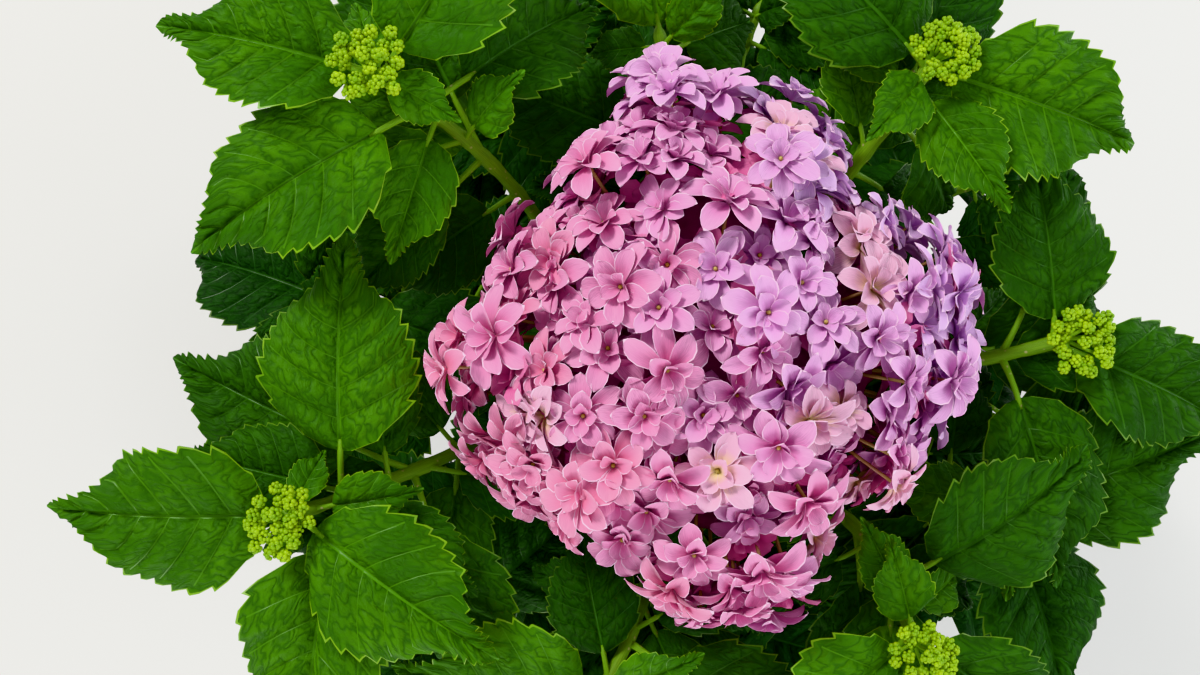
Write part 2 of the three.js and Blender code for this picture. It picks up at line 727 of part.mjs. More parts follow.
function potGeometry() {
  const lipFoot = POT_HEIGHT - POT_LIP_HEIGHT;
  const edge = 2;
  const outline = [
    [0, 0],
    [potRadius(0) - edge, 0],
    [potRadius(0), edge],
    [potRadius(lipFoot), lipFoot],
    [potRadius(lipFoot) + POT_LIP_PROUD, lipFoot + 1],
    [POT_RIM_RADIUS + POT_LIP_PROUD, POT_HEIGHT - edge],
    [POT_RIM_RADIUS + POT_LIP_PROUD - edge, POT_HEIGHT],
    [POT_RIM_RADIUS - POT_WALL, POT_HEIGHT],
    [potRadius(POT_WALL) - POT_WALL, POT_WALL],
    [0, POT_WALL],
  ];
  const geometry = new THREE.LatheGeometry(outline.map(([r, z]) => new THREE.Vector2(r, z)), ROUND_SIDES);
  return geometry.rotateX(Math.PI / 2);
}

function mixGeometry() {
  const floor = POT_WALL + SEAT_GAP;
  const surface = POT_HEIGHT - MIX_BELOW_RIM;
  const clear = POT_WALL + SEAT_GAP + 0.3;
  const outline = [
    [0, floor],
    [potRadius(floor) - clear, floor],
    [potRadius(surface - 4) - clear, surface - 4],
    [potRadius(surface) - clear - 6, surface],
    [0, surface],
  ];
  const geometry = new THREE.LatheGeometry(outline.map(([r, z]) => new THREE.Vector2(r, z)), ROUND_SIDES);
  return geometry.rotateX(Math.PI / 2);
}

function solidGeometry(solid) {
  const mesh = solid.getMesh();
  const geometry = new THREE.BufferGeometry();
  geometry.setAttribute('position', new THREE.BufferAttribute(new Float32Array(mesh.vertProperties), 3));
  geometry.setIndex(new THREE.BufferAttribute(new Uint32Array(mesh.triVerts), 1));
  geometry.computeVertexNormals();
  return geometry;
}

function piece(name, geometry, color, roughness) {
  const mesh = new THREE.Mesh(geometry, new THREE.MeshStandardMaterial({ color, roughness, metalness: 0 }));
  mesh.name = name;
  return mesh;
}

const POT_BLUE = 0x14508c;
const BARK_BROWN = 0x6b4326;
const CANE_BROWN = 0x8a7350;
const GREEN_WOOD = 0x7d9a3c;
const LEAF_GREEN = 0x4c8a16;
const DEEP_GREEN = 0x2c5f14;
const PETAL_PINK = 0xdf85b8;

function buildPlant() {
  const plant = new THREE.Group();
  const { canes, boughs, shoots } = growLimbs();
  const twigs = shoots.map((shoot) => shoot.twig);
  const limbs = [...canes, ...boughs, ...twigs];
  for (const limb of limbs) {
    limb.samples = limbSamples(limb);
    limb.middle = limbPoint(limb, 0.5);
    limb.halfLength = 0.5 * size(minus(limb.tip, limb.foot));
  }
  const leaves = growLeaves(shoots, limbs);
  plant.add(piece('pot', potGeometry(), POT_BLUE, 0.4));
  plant.add(piece('growing_mix', mixGeometry(), BARK_BROWN, 0.95));
  for (const cane of canes) {
    plant.add(piece(cane.name, solidGeometry(limbSolid(cane, 8, 5, 0)), CANE_BROWN, 0.85));
  }
  for (const bough of boughs) {
    plant.add(piece(bough.name, solidGeometry(limbSolid(bough, 6, 4, 0)), GREEN_WOOD, 0.7));
  }
  for (const shoot of shoots) {
    const own = leaves.filter((leaf) => leaf.owner === shoot.twig.name);
    const color = shoot.tiers === UPPER_TIERS ? LEAF_GREEN : DEEP_GREEN;
    plant.add(piece(shoot.twig.name, solidGeometry(shootSolid(shoot, own)), color, 0.55));
  }
  const flowering = shoots[shoots.length - 1].twig;
  plant.add(piece('flower_head', solidGeometry(flowerHeadSolid(flowering)), PETAL_PINK, 0.6));
  return plant;
}

export default buildPlant();
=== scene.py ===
"""The looks of a mophead hydrangea in its nursery pot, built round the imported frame.

The plant is grown here by the same rule as its solids and carried to finer detail: veined and
toothed blades, young leaves and side leaves, bead-like buds, double florets, bark and growing mix.
Lengths are in millimetres until a mesh is made. The origin is the middle of the pot's underside.
"""
import math
from types import SimpleNamespace

import bpy
import numpy as np
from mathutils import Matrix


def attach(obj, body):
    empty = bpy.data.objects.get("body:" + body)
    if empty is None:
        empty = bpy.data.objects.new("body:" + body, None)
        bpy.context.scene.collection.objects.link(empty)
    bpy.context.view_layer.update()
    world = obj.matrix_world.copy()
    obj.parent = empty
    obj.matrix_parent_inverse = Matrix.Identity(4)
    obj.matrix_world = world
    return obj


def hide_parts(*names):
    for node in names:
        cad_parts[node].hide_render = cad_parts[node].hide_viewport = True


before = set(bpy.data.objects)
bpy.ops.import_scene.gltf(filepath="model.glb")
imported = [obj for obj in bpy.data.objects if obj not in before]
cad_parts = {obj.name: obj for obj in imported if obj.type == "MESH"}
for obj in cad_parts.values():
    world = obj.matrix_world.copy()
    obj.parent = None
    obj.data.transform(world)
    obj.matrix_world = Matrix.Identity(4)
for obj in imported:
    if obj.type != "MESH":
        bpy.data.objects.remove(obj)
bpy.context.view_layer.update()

MM = 0.001

# Driving dimensions, as the solids have them
POT_HEIGHT = 240.0
POT_RIM_RADIUS = 135.0
POT_FOOT_RADIUS = 112.0
POT_WALL = 2.4
POT_LIP_HEIGHT = 19.0
POT_LIP_PROUD = 5.5
MIX_BELOW_RIM = 26.0
MIX_LEVEL = POT_HEIGHT - MIX_BELOW_RIM
SEAT_GAP = 0.3

FIRST_CANE_BEARING = 18.0
CANE_RING = 36.0
CANE_FORK_RING = 64.0
CANE_FORK_RISE = 64.0
CANE_FOOT_RADIUS = 10.5
CANE_WAIST_RADIUS = 6.4
CANE_FORK_RADIUS = 8.6
BOUGH_FOOT_RADIUS = 4.0
BOUGH_TIP_RADIUS = 3.5
TWIG_TIP_RADIUS = 2.9
FLOWER_FOOT_RADIUS = 5.2
FLOWER_TIP_RADIUS = 4.6
# A cane narrows quickly to its waist and widens again on its way to the fork
WAIST_START = 0.4
WAIST_END = 0.6
CANE_KNEE = 0.6
MIDDLE_CANE_FOOT = (2, -1)
MIDDLE_CANE_TIP = (-10, 2)
# How far out each bough's tip stands, as a share of its shoot's reach, and what is taken from or
# added to its height
UPPER_FORK_SHARE = 0.56
UPPER_FORK_DROP = 8
LOWER_FORK_SHARE = 0.57
LOWER_FORK_RISE = 9
BOUGH_APART = 0.3
# How far a limb keeps the heading that it starts with: a length, or a share of what carries it
UPPER_BOUGH_LIFT = 34
LOWER_BOUGH_LIFT = 26
MIDDLE_CANE_LIFT = 36
FLOWER_LIFT = 40
UPPER_TWIG_LIFT = 0.72
LOWER_TWIG_LIFT = 0.45
LIMB_SAMPLE_STEP = 6

HEAD_CENTRE = np.array([-22.0, 7.0, 0.0])
HEAD_RADIUS = 125.0
HEAD_SEAT_HEIGHT = 384.0
HEAD_EDGE_HEIGHT = 431.0
HEAD_DOME = 62.0
FLORET_RADIUS = 20.0
HEAD_SEAT = HEAD_CENTRE + [0, 0, HEAD_SEAT_HEIGHT]
HEAD_MIDDLE = HEAD_CENTRE + [0, 0, HEAD_EDGE_HEIGHT]

LEAF_LENGTH = 118.0
LEAF_WIDTH = 0.62
LEAF_CLEARANCE = 3.2
LEAF_SKIRT = 5.0
LEAF_RIPPLES = 1.6
PETIOLE_RISE = 24
# What a leaf keeps clear of, besides other leaves, and how near two things must be to be compared
BLADE_OFF_LIMB = 2.6
PETIOLE_OFF_LIMB = 4.5
HEAD_UNDERSIDE = 12
HEAD_MARGIN = 2
OVER_POT = 8
BESIDE_POT = 6
OVER_BUDS = 4
BESIDE_BUDS = 2
NEAR = 14

BUD_RING = 15.0
BUD_RISE = 15.0
BUD_COUNT = 9
BUD_RADIUS = 4.6

GOLDEN_ANGLE = 137.508

# Where the head's outline is drawn in between its lobes: bearing, depth and half width in degrees
HEAD_CLEFTS = (
    (48, 0.34, 14),
    (142, 0.3, 15),
    (170, 0.16, 10),
    (235, 0.27, 14),
    (311, 0.3, 14),
    (335, 0.1, 12),
)

# The upper shoots: bearing, reach, height of the tip, bearing of the lower shoot beside it, whether
# the tip carries buds, and the bearings of its leaf pairs from the tip down
UPPER_SHOOTS = (
    (4, 166, 432, 32, True, ((343, 130), (297, 70), (60, 250), (20, 205))),
    (60, 174, 452, 82, True, ((350, 141), (72, 300), (110, 250), (324, 165))),
    (105, 172, 412, 123, False, ((106, 10), (143, 45), (60, 160), (85, 190))),
    (144, 233, 458, 171, True, ((173, 57), (213, 20), (300, 120), (287, 118))),
    (198, 245, 432, 224, True, ((184, 324), (89, 263), (135, 230), (155, 290))),
    (247, 190, 402, 273, False, ((173, 100), (330, 255), (50, 210), (220, 300))),
    (300, 170, 430, 315, True, ((329, 190), (62, 262), (20, 215), (26, 285))),
    (331, 176, 388, 347, False, ((21, 300), (40, 215), (75, 270), (331, 150))),
)
LOWER_REACH = (222, 214, 226, 238, 240, 224, 216, 226)
LOWER_HEIGHT = (300, 310, 294, 306, 296, 308, 290, 298)
# The lower shoots are numbered from here on, beside the upper ones from 1, and the flowering shoot
FIRST_LOWER_SHOOT = 21
FLOWERING_SHOOT = 50


def tier(place, size, petiole, rise, bend, turn=0.0):
    """How far up its shoot a leaf pair stands, its size, its petiole and how it is held"""
    return SimpleNamespace(place=place, size=size, petiole=petiole, rise=rise, bend=bend, turn=turn)


UPPER_TIERS = (
    tier(0.95, 0.93, 14, 5, 42),
    tier(0.76, 0.96, 24, -4, 46),
    tier(0.98, 0.5, 9, 10, 32),
    tier(0.44, 0.92, 30, -12, 42),
)
LOWER_TIERS = (
    tier(0.985, 0.62, 9, 14, 36, 78),
    tier(0.86, 0.90, 20, -10, 50, -6),
    tier(0.56, 1.0, 27, -22, 54, 84),
    tier(0.24, 0.88, 26, -28, 48, 34),
)
FLOWER_TIERS = (
    tier(0.92, 0.98, 24, -4, 40, 20),
    tier(0.62, 1.0, 28, -10, 44, 106),
    tier(0.3, 0.9, 28, -14, 40, 62),
)

# The finer growth that the solids leave out: a collar under the buds, or the young leaves of a tip
# that has none, and the small leaves that stand between the big pairs
COLLAR_TIERS = (tier(0.98, 0.36, 8, 3, 26, 40), tier(0.95, 0.44, 10, -2, 30, 128))
TIP_TIERS = (tier(1.0, 0.34, 5, 50, 34, 20), tier(0.985, 0.46, 7, 32, 36, 110))
SIDE_TIERS = (
    tier(0.88, 0.6, 12, 6, 38, 60),
    tier(0.7, 0.68, 14, 0, 40, -30),
    tier(0.55, 0.72, 16, -6, 42, 100),
    tier(0.38, 0.74, 18, -10, 44, 10),
    tier(0.2, 0.68, 18, -14, 44, 75),
)

# The rows of leaves on a shoot are numbered from here on
FIRST_TIP_ROW = 4
FIRST_SIDE_ROW = 6

# What each leaf draws for itself: the number of the draw, the least and the most
LEAF_DRAWS = SimpleNamespace(
    length=(1, 0.93, 1.07),
    width=(2, 0.92, 1.1),
    bend=(3, 0.75, 1.25),
    fold=(4, 0.22, 0.42),
    curl=(5, 0.1, 0.34),
    wave=(6, 0.02, 0.06),
    phase=(7, 0, 1),
    roll=(8, -14, 14),
    petiole=(9, 0.9, 1.15),
    bearing=(10, -9, 9),
    rise=(11, -5, 5),
    tone=(20, -0.16, 0.16),
)

# What is tried in turn when a leaf would leave its shoot's space: swing, dip and blade size
TRIES = (
    (0, 0, 1),
    (12, 5, 1),
    (-12, -6, 1),
    (6, 16, 0.95),
    (-6, -16, 0.95),
    (24, -8, 0.9),
    (-24, 8, 0.9),
    (34, 12, 0.85),
    (-34, -12, 0.85),
    (16, -26, 0.8),
    (-16, 24, 0.8),
    (46, 0, 0.72),
    (-46, 0, 0.72),
    (30, 22, 0.7),
    (-30, 30, 0.7),
    (0, -34, 0.7),
    (60, -10, 0.62),
    (-60, -10, 0.62),
    (20, -44, 0.6),
    (-20, 44, 0.55),
)


def polar(bearing, radius, height):
    angle = math.radians(bearing)
    return np.array([radius * math.cos(angle), radius * math.sin(angle), height])


def unit(vector):
    return vector / np.linalg.norm(vector, axis=-1, keepdims=True)


def span(one, other):
    return float(np.linalg.norm(other - one))


# What makes a draw: the steps that three numbers take along a sine wave, and how much it is raised
FIRST_STEP, SECOND_STEP, THIRD_STEP = 12.9898, 78.233, 37.719
WAVE_HEIGHT = 43758.5453


def drawn(shoot, leaf, draw, low, high):
    """A repeatable number between low and high for one draw of one leaf of one shoot"""
    wave = math.sin(shoot * FIRST_STEP + leaf * SECOND_STEP + draw * THIRD_STEP) * WAVE_HEIGHT
    return low + (high - low) * (wave - math.floor(wave))


def bowed(foot, knee, tip, steps):
    """Points along a quadratic curve, and how far along it each of them lies"""
    t = np.linspace(0, 1, steps)
    s = t[:, None]
    return foot * (1 - s) ** 2 + knee * 2 * s * (1 - s) + tip * s * s, t


def placed(name, data):
    """A mesh, a light or a camera as an object of the scene"""
    holder = bpy.data.objects.new(name, data)
    bpy.context.scene.collection.objects.link(holder)
    return holder


# The camera looks down from above the plant's left side, tilted a little towards its right
CAMERA_PLACE = (-0.126, 0.012, 0.98)
CAMERA_TILT = 5.0
CAMERA_LENS = 33.0
FILM_WIDTH = 36.0


def add_camera():
    camera = bpy.data.cameras.new("camera")
    camera.lens = CAMERA_LENS
    camera.sensor_width = FILM_WIDTH
    holder = placed("camera", camera)
    holder.location = CAMERA_PLACE
    holder.rotation_euler = (0.0, -math.radians(CAMERA_TILT), 0.0)
    bpy.context.scene.camera = holder


# Growing the plant


class Limb:
    """A quadratic curve whose radius goes evenly from foot to tip, or in over a waist and out again"""

    def __init__(self, foot, knee, tip, foot_radius, tip_radius, waist=None):
        self.foot = np.array(foot, float)
        self.knee = np.array(knee, float)
        self.tip = np.array(tip, float)
        self.foot_radius = foot_radius
        self.tip_radius = tip_radius
        self.waist = waist
        steps = math.ceil(span(self.foot, self.tip) / LIMB_SAMPLE_STEP)
        self.samples = self.point(np.arange(steps + 1) / steps)
        self.middle = self.point(0.5)
        self.half_length = 0.5 * span(self.foot, self.tip)

    def point(self, t):
        t = np.asarray(t, float)[..., None]
        low = self.foot * (1 - t) + self.knee * t
        high = self.knee * (1 - t) + self.tip * t
        return low * (1 - t) + high * t

    def heading(self, t):
        t = np.asarray(t, float)[..., None]
        return unit((self.knee - self.foot) * (1 - t) + (self.tip - self.knee) * t)

    def radius(self, t):
        t = np.asarray(t, float)
        if self.waist is None:
            return self.foot_radius + (self.tip_radius - self.foot_radius) * t
        narrowed = np.sqrt(np.minimum(1, t / WAIST_START))
        widened = np.maximum(0, (t - WAIST_END) / (1 - WAIST_END)) ** 2
        below = self.foot_radius + (self.waist - self.foot_radius) * narrowed
        above = self.waist + (self.tip_radius - self.waist) * widened
        return np.where(t < 0.5, below, above)


def make_cane(number):
    lean = FIRST_CANE_BEARING + 360 * (number - 1) / len(UPPER_SHOOTS)
    ground = MIX_LEVEL + SEAT_GAP
    foot = polar(lean, CANE_RING, ground)
    tip = polar(lean, CANE_FORK_RING, ground + CANE_FORK_RISE)
    knee = polar(lean, CANE_RING, ground + CANE_KNEE * CANE_FORK_RISE)
    return Limb(foot, knee, tip, CANE_FOOT_RADIUS, CANE_FORK_RADIUS, CANE_WAIST_RADIUS)


def make_middle_cane():
    ground = MIX_LEVEL + SEAT_GAP
    return Limb(
        (*MIDDLE_CANE_FOOT, ground),
        (*MIDDLE_CANE_FOOT, ground + MIDDLE_CANE_LIFT),
        (*MIDDLE_CANE_TIP, ground + CANE_FORK_RISE),
        CANE_FOOT_RADIUS, CANE_WAIST_RADIUS, CANE_WAIST_RADIUS,
    )


def make_bough(cane, sideways, tip, lift):
    heading = cane.heading(1)
    across = unit(np.cross([0, 0, 1], heading))
    foot = cane.tip + heading * SEAT_GAP + across * sideways
    return Limb(foot, foot + heading * lift, tip, BOUGH_FOOT_RADIUS, BOUGH_TIP_RADIUS)


def make_twig(bough, tip, lift):
    heading = bough.heading(1)
    foot = bough.tip + heading * SEAT_GAP
    return Limb(foot, foot + heading * lift, tip, BOUGH_TIP_RADIUS, TWIG_TIP_RADIUS)


def make_flowering_twig(cane):
    heading = cane.heading(1)
    foot = cane.tip + heading * SEAT_GAP
    return Limb(foot, foot + heading * FLOWER_LIFT, HEAD_SEAT, FLOWER_FOOT_RADIUS, FLOWER_TIP_RADIUS)


def make_shoot(twig, number, bearing, tiers, pairs=None, budded=False):
    return SimpleNamespace(
        twig=twig, number=number, bearing=bearing, tiers=tiers, pairs=pairs, budded=budded
    )


def grow_limbs():
    """The canes, the boughs that they fork into, and the shoots that the boughs carry"""
    canes = []
    boughs = []
    shoots = []
    apart = BOUGH_FOOT_RADIUS + BOUGH_APART
    for index, (bearing, reach, height, lower, budded, pairs) in enumerate(UPPER_SHOOTS):
        cane = make_cane(index + 1)
        fork = cane.tip[2]
        low_reach = LOWER_REACH[index]
        upper_tip = polar(bearing, UPPER_FORK_SHARE * reach, 0.5 * (fork + height) - UPPER_FORK_DROP)
        lower_tip = polar(lower, LOWER_FORK_SHARE * low_reach, fork + LOWER_FORK_RISE)
        upper_bough = make_bough(cane, -apart, upper_tip, UPPER_BOUGH_LIFT)
        lower_bough = make_bough(cane, apart, lower_tip, LOWER_BOUGH_LIFT)
        upper_end = polar(bearing, reach, height)
        lower_end = polar(lower, low_reach, LOWER_HEIGHT[index])
        upper_twig = make_twig(upper_bough, upper_end, UPPER_TWIG_LIFT * span(upper_tip, cane.tip))
        lower_twig = make_twig(lower_bough, lower_end, LOWER_TWIG_LIFT * span(lower_tip, cane.tip))
        canes.append(cane)
        boughs += [upper_bough, lower_bough]
        shoots.append(make_shoot(upper_twig, index + 1, bearing, UPPER_TIERS, pairs, budded))
        shoots.append(make_shoot(lower_twig, FIRST_LOWER_SHOOT + index, lower, LOWER_TIERS))
    canes.append(make_middle_cane())
    shoots.append(make_shoot(make_flowering_twig(canes[-1]), FLOWERING_SHOOT, 0, FLOWER_TIERS))
    return canes, boughs, shoots


# A blade's half width rises fast from its base and falls off slowly to its tip: the two powers, where
# it is widest and how high the curve is there
WIDEST_RISE = 0.62
WIDEST_FALL = 1.08
WIDEST = WIDEST_RISE / (WIDEST_RISE + WIDEST_FALL)
WIDEST_PEAK = WIDEST ** WIDEST_RISE * (1 - WIDEST) ** WIDEST_FALL


def half_width(leaf, u):
    """A blade's half width at u, from its base at 0 to its tip at 1"""
    shape = np.maximum(u, 0) ** WIDEST_RISE * np.maximum(1 - u, 0) ** WIDEST_FALL
    return 0.5 * leaf.width * shape / WIDEST_PEAK


def midrib(leaf, u):
    """The midrib's place along and above its chord, and its slope"""
    slope = leaf.bend * (0.5 - u)
    x = leaf.length * (np.sin(0.5 * leaf.bend) - np.sin(slope)) / leaf.bend
    z = leaf.length * (np.cos(slope) - np.cos(0.5 * leaf.bend)) / leaf.bend
    return x, z, slope


def bulge(leaf, u, s):
    """How far the blade stands above its midrib, s from one margin at -1 to the other at 1"""
    half = half_width(leaf, u)
    ripple = leaf.wave * leaf.width * s * s * np.sin(2 * np.pi * (LEAF_RIPPLES * u + leaf.phase))
    return half * (leaf.fold * np.abs(s) - leaf.curl * s * s) + ripple * half / (0.5 * leaf.width)


def blade_point(leaf, u, s, lift=0.0, outward=0.0):
    x, z, slope = midrib(leaf, u)
    up = bulge(leaf, u, s) + lift
    place = np.stack(np.broadcast_arrays(
        x - up * np.sin(slope), s * half_width(leaf, u) + outward, z + up * np.cos(slope)
    ), -1)
    return leaf.base + place @ np.stack([leaf.along, leaf.across, leaf.face])


SAMPLE_U, SAMPLE_S = np.meshgrid(np.arange(11) / 10, np.arange(-3, 4) / 3, indexing="ij")
STALK_SHARES = np.array([0.2, 0.4, 0.6, 0.8, 1.0])[:, None]
THINNEST_HALF = 0.5
BLADE_SAMPLES = SAMPLE_U.size


def way_of(turn, slope):
    """The direction that a turn about the upright axis and a slope over the level give, in radians"""
    level = math.cos(slope)
    return np.array([level * math.cos(turn), level * math.sin(turn), math.sin(slope)])


def make_leaf(stalk, bearing, rise, plan):
    turn = math.radians(bearing)
    slope = math.radians(rise)
    side = np.array([-math.sin(turn), math.cos(turn), 0])
    dip = -math.sin(slope)
    normal = np.array([dip * math.cos(turn), dip * math.sin(turn), math.cos(slope)])
    leaf = SimpleNamespace(**plan, stalk=stalk)
    leaf.along = way_of(turn, slope)
    leaf.across = side * math.cos(leaf.roll) + normal * math.sin(leaf.roll)
    leaf.face = normal * math.cos(leaf.roll) - side * math.sin(leaf.roll)
    leaf.base = stalk + way_of(turn, math.radians(rise + PETIOLE_RISE)) * leaf.petiole
    leaf.middle = leaf.base + leaf.along * (0.5 * leaf.length)
    blade = blade_point(leaf, SAMPLE_U, SAMPLE_S).reshape(-1, 3)
    leaf.points = np.vstack([blade, stalk * (1 - STALK_SHARES) + leaf.base * STALK_SHARES])
    return leaf


BLADE_VECTORS = ("base", "along", "across", "face")
BLADE_NUMBERS = ("length", "width", "bend", "fold", "curl", "wave", "phase")


def crowd_of(leaves):
    """Leaves side by side in arrays, so that one call measures against them all"""
    crowd = SimpleNamespace()
    for name in BLADE_VECTORS:
        setattr(crowd, name, np.array([getattr(leaf, name) for leaf in leaves])[:, None, :])
    for name in BLADE_NUMBERS:
        setattr(crowd, name, np.array([getattr(leaf, name) for leaf in leaves])[:, None])
    crowd.points = np.array([leaf.points for leaf in leaves])
    crowd.middle = np.array([leaf.middle for leaf in leaves])
    return crowd


def heights_over(leaf, points):
    """How far points lie above the blade's middle surface, and nan where they are off the blade"""
    away = points - leaf.base
    x = (away * leaf.along).sum(-1)
    y = (away * leaf.across).sum(-1)
    chord = midrib(leaf, 1.0)[0]
    off = (x < -LEAF_SKIRT) | (x > chord + LEAF_SKIRT) | (np.abs(y) > 0.5 * leaf.width + LEAF_SKIRT)
    u = np.clip(x / chord, 0, 1)
    rough_x, _, slope = midrib(leaf, u)
    u = np.clip(u + (x - rough_x) / (leaf.length * np.cos(slope)), 0, 1)
    half = half_width(leaf, u)
    off |= np.abs(y) > half + LEAF_SKIRT
    _, z, slope = midrib(leaf, u)
    s = np.where(half > THINNEST_HALF, np.clip(y / np.maximum(half, THINNEST_HALF), -1, 1), 0)
    surface = z + bulge(leaf, u, s) * np.cos(slope)
    height = ((away * leaf.face).sum(-1) - surface) * np.cos(slope)
    return np.where(off, np.nan, height)


def meets(heights, clearance):
    """True where some points come within a clearance of a blade, or lie on both of its sides"""
    near = (np.abs(heights) < clearance).any(-1)
    return near | ((heights > 0).any(-1) & (heights < 0).any(-1))


def leaves_meet(leaf, crowd):
    apart = np.linalg.norm(crowd.middle - leaf.middle, axis=1)
    close = apart <= 0.5 * (leaf.length + crowd.length[:, 0]) + NEAR
    over_leaf = heights_over(leaf, crowd.points)
    over_crowd = heights_over(crowd, leaf.points[None])
    found = np.zeros(len(apart), bool)
    for heights in (over_leaf, over_crowd):
        found |= meets(heights[:, :BLADE_SAMPLES], LEAF_CLEARANCE)
        found |= meets(heights[:, BLADE_SAMPLES:], LEAF_CLEARANCE)
    return bool((found & close).any())


def head_outline(bearing):
    radius = HEAD_RADIUS
    for middle, depth, width in HEAD_CLEFTS:
        off = ((bearing - middle + 540) % 360) - 180
        radius = radius * (1 - depth * np.exp(-((off / width) ** 2)))
    return radius


def in_head(points):
    away = points - HEAD_CENTRE
    bearing = np.degrees(np.arctan2(away[:, 1], away[:, 0])) + 360
    wide = np.hypot(away[:, 0], away[:, 1])
    high = points[:, 2] > HEAD_SEAT_HEIGHT + HEAD_UNDERSIDE
    return high & (wide < head_outline(bearing) + FLORET_RADIUS + HEAD_MARGIN)


def in_pot(points):
    wide = np.hypot(points[:, 0], points[:, 1])
    low = points[:, 2] < POT_HEIGHT + OVER_POT
    return low & (wide < POT_RIM_RADIUS + POT_LIP_PROUD + BESIDE_POT)


def cluster_centre(twig):
    return twig.tip + [0, 0, BUD_RISE]


def in_cluster(points, centre):
    away = points - centre
    wide = np.hypot(away[:, 0], away[:, 1])
    level = np.abs(away[:, 2]) < BUD_RADIUS + OVER_BUDS
    return level & (wide < BUD_RING + BUD_RADIUS + BESIDE_BUDS)


def leaf_is_clear(leaf, twig, crowd, limbs, clusters):
    """Whether a leaf keeps off the head, the pot, the limbs, the bud clusters and other leaves"""
    if in_head(leaf.points).any() or in_pot(leaf.points).any():
        return False
    stalk_points = leaf.points[BLADE_SAMPLES:]
    for limb in limbs:
        if span(leaf.middle, limb.middle) < 0.5 * leaf.length + limb.half_length + NEAR:
            if meets(heights_over(leaf, limb.samples), limb.foot_radius + BLADE_OFF_LIMB):
                return False
            if limb is not twig:
                gaps = np.linalg.norm(stalk_points[:, None] - limb.samples[None], axis=2)
                if gaps.min() < limb.foot_radius + PETIOLE_OFF_LIMB:
                    return False
    blade = leaf.points[:BLADE_SAMPLES]
    if any(in_cluster(blade, centre).any() for centre in clusters):
        return False
    return crowd is None or not leaves_meet(leaf, crowd)


def plan_leaf(shoot, stage, key, shrink):
    def draw(of):
        return drawn(shoot.number, key, *of)

    length = LEAF_LENGTH * stage.size * shrink * draw(LEAF_DRAWS.length)
    return {
        "length": length,
        "width": length * LEAF_WIDTH * draw(LEAF_DRAWS.width),
        "bend": math.radians(stage.bend) * draw(LEAF_DRAWS.bend),
        "fold": draw(LEAF_DRAWS.fold),
        "curl": draw(LEAF_DRAWS.curl),
        "wave": draw(LEAF_DRAWS.wave),
        "phase": draw(LEAF_DRAWS.phase),
        "roll": math.radians(draw(LEAF_DRAWS.roll)),
        "petiole": stage.petiole * draw(LEAF_DRAWS.petiole),
    }


def try_leaf(shoot, stage, row, side, leaves, limbs, clusters):
    """The first leaf of those that TRIES lists that keeps clear of everything, or None"""
    key = row * 2 + side
    stalk = shoot.twig.point(stage.place)
    if shoot.pairs and row < len(shoot.pairs):
        bearing = shoot.pairs[row][side]
    else:
        drift = drawn(shoot.number, key, *LEAF_DRAWS.bearing)
        bearing = shoot.bearing + stage.turn + 180 * side + drift
    longest = LEAF_DRAWS.length[2] * LEAF_LENGTH * stage.size
    reach = LEAF_DRAWS.petiole[2] * stage.petiole + longest + NEAR
    near = [leaf for leaf in leaves if span(leaf.middle, stalk) < reach + 0.5 * leaf.length]
    crowd = crowd_of(near) if near else None
    for swing, dip, shrink in TRIES:
        rise = stage.rise + drawn(shoot.number, key, *LEAF_DRAWS.rise) + dip
        leaf = make_leaf(stalk, bearing + swing, rise, plan_leaf(shoot, stage, key, shrink))
        if leaf_is_clear(leaf, shoot.twig, crowd, limbs, clusters):
            leaf.shoot = shoot
            leaf.key = key
            return leaf
    return None


def grow_leaves(shoots, limbs):
    """The leaves that the solids have, in the same order, and then the finer growth between them"""
    clusters = [cluster_centre(shoot.twig) for shoot in shoots if shoot.budded]
    leaves = []

    def grow_rows(first, tiers_of):
        for index in range(max(len(tiers_of(shoot)) for shoot in shoots)):
            for shoot in shoots:
                if index < len(tiers_of(shoot)):
                    for side in range(2):
                        stage = tiers_of(shoot)[index]
                        leaf = try_leaf(shoot, stage, first + index, side, leaves, limbs, clusters)
                        if leaf:
                            leaves.append(leaf)

    def tip_tiers(shoot):
        if shoot.number == FLOWERING_SHOOT:
            return ()
        return COLLAR_TIERS if shoot.budded else TIP_TIERS

    grow_rows(0, lambda shoot: shoot.tiers)
    grow_rows(FIRST_TIP_ROW, tip_tiers)
    grow_rows(FIRST_SIDE_ROW, lambda shoot: SIDE_TIERS)
    return leaves


# Making meshes


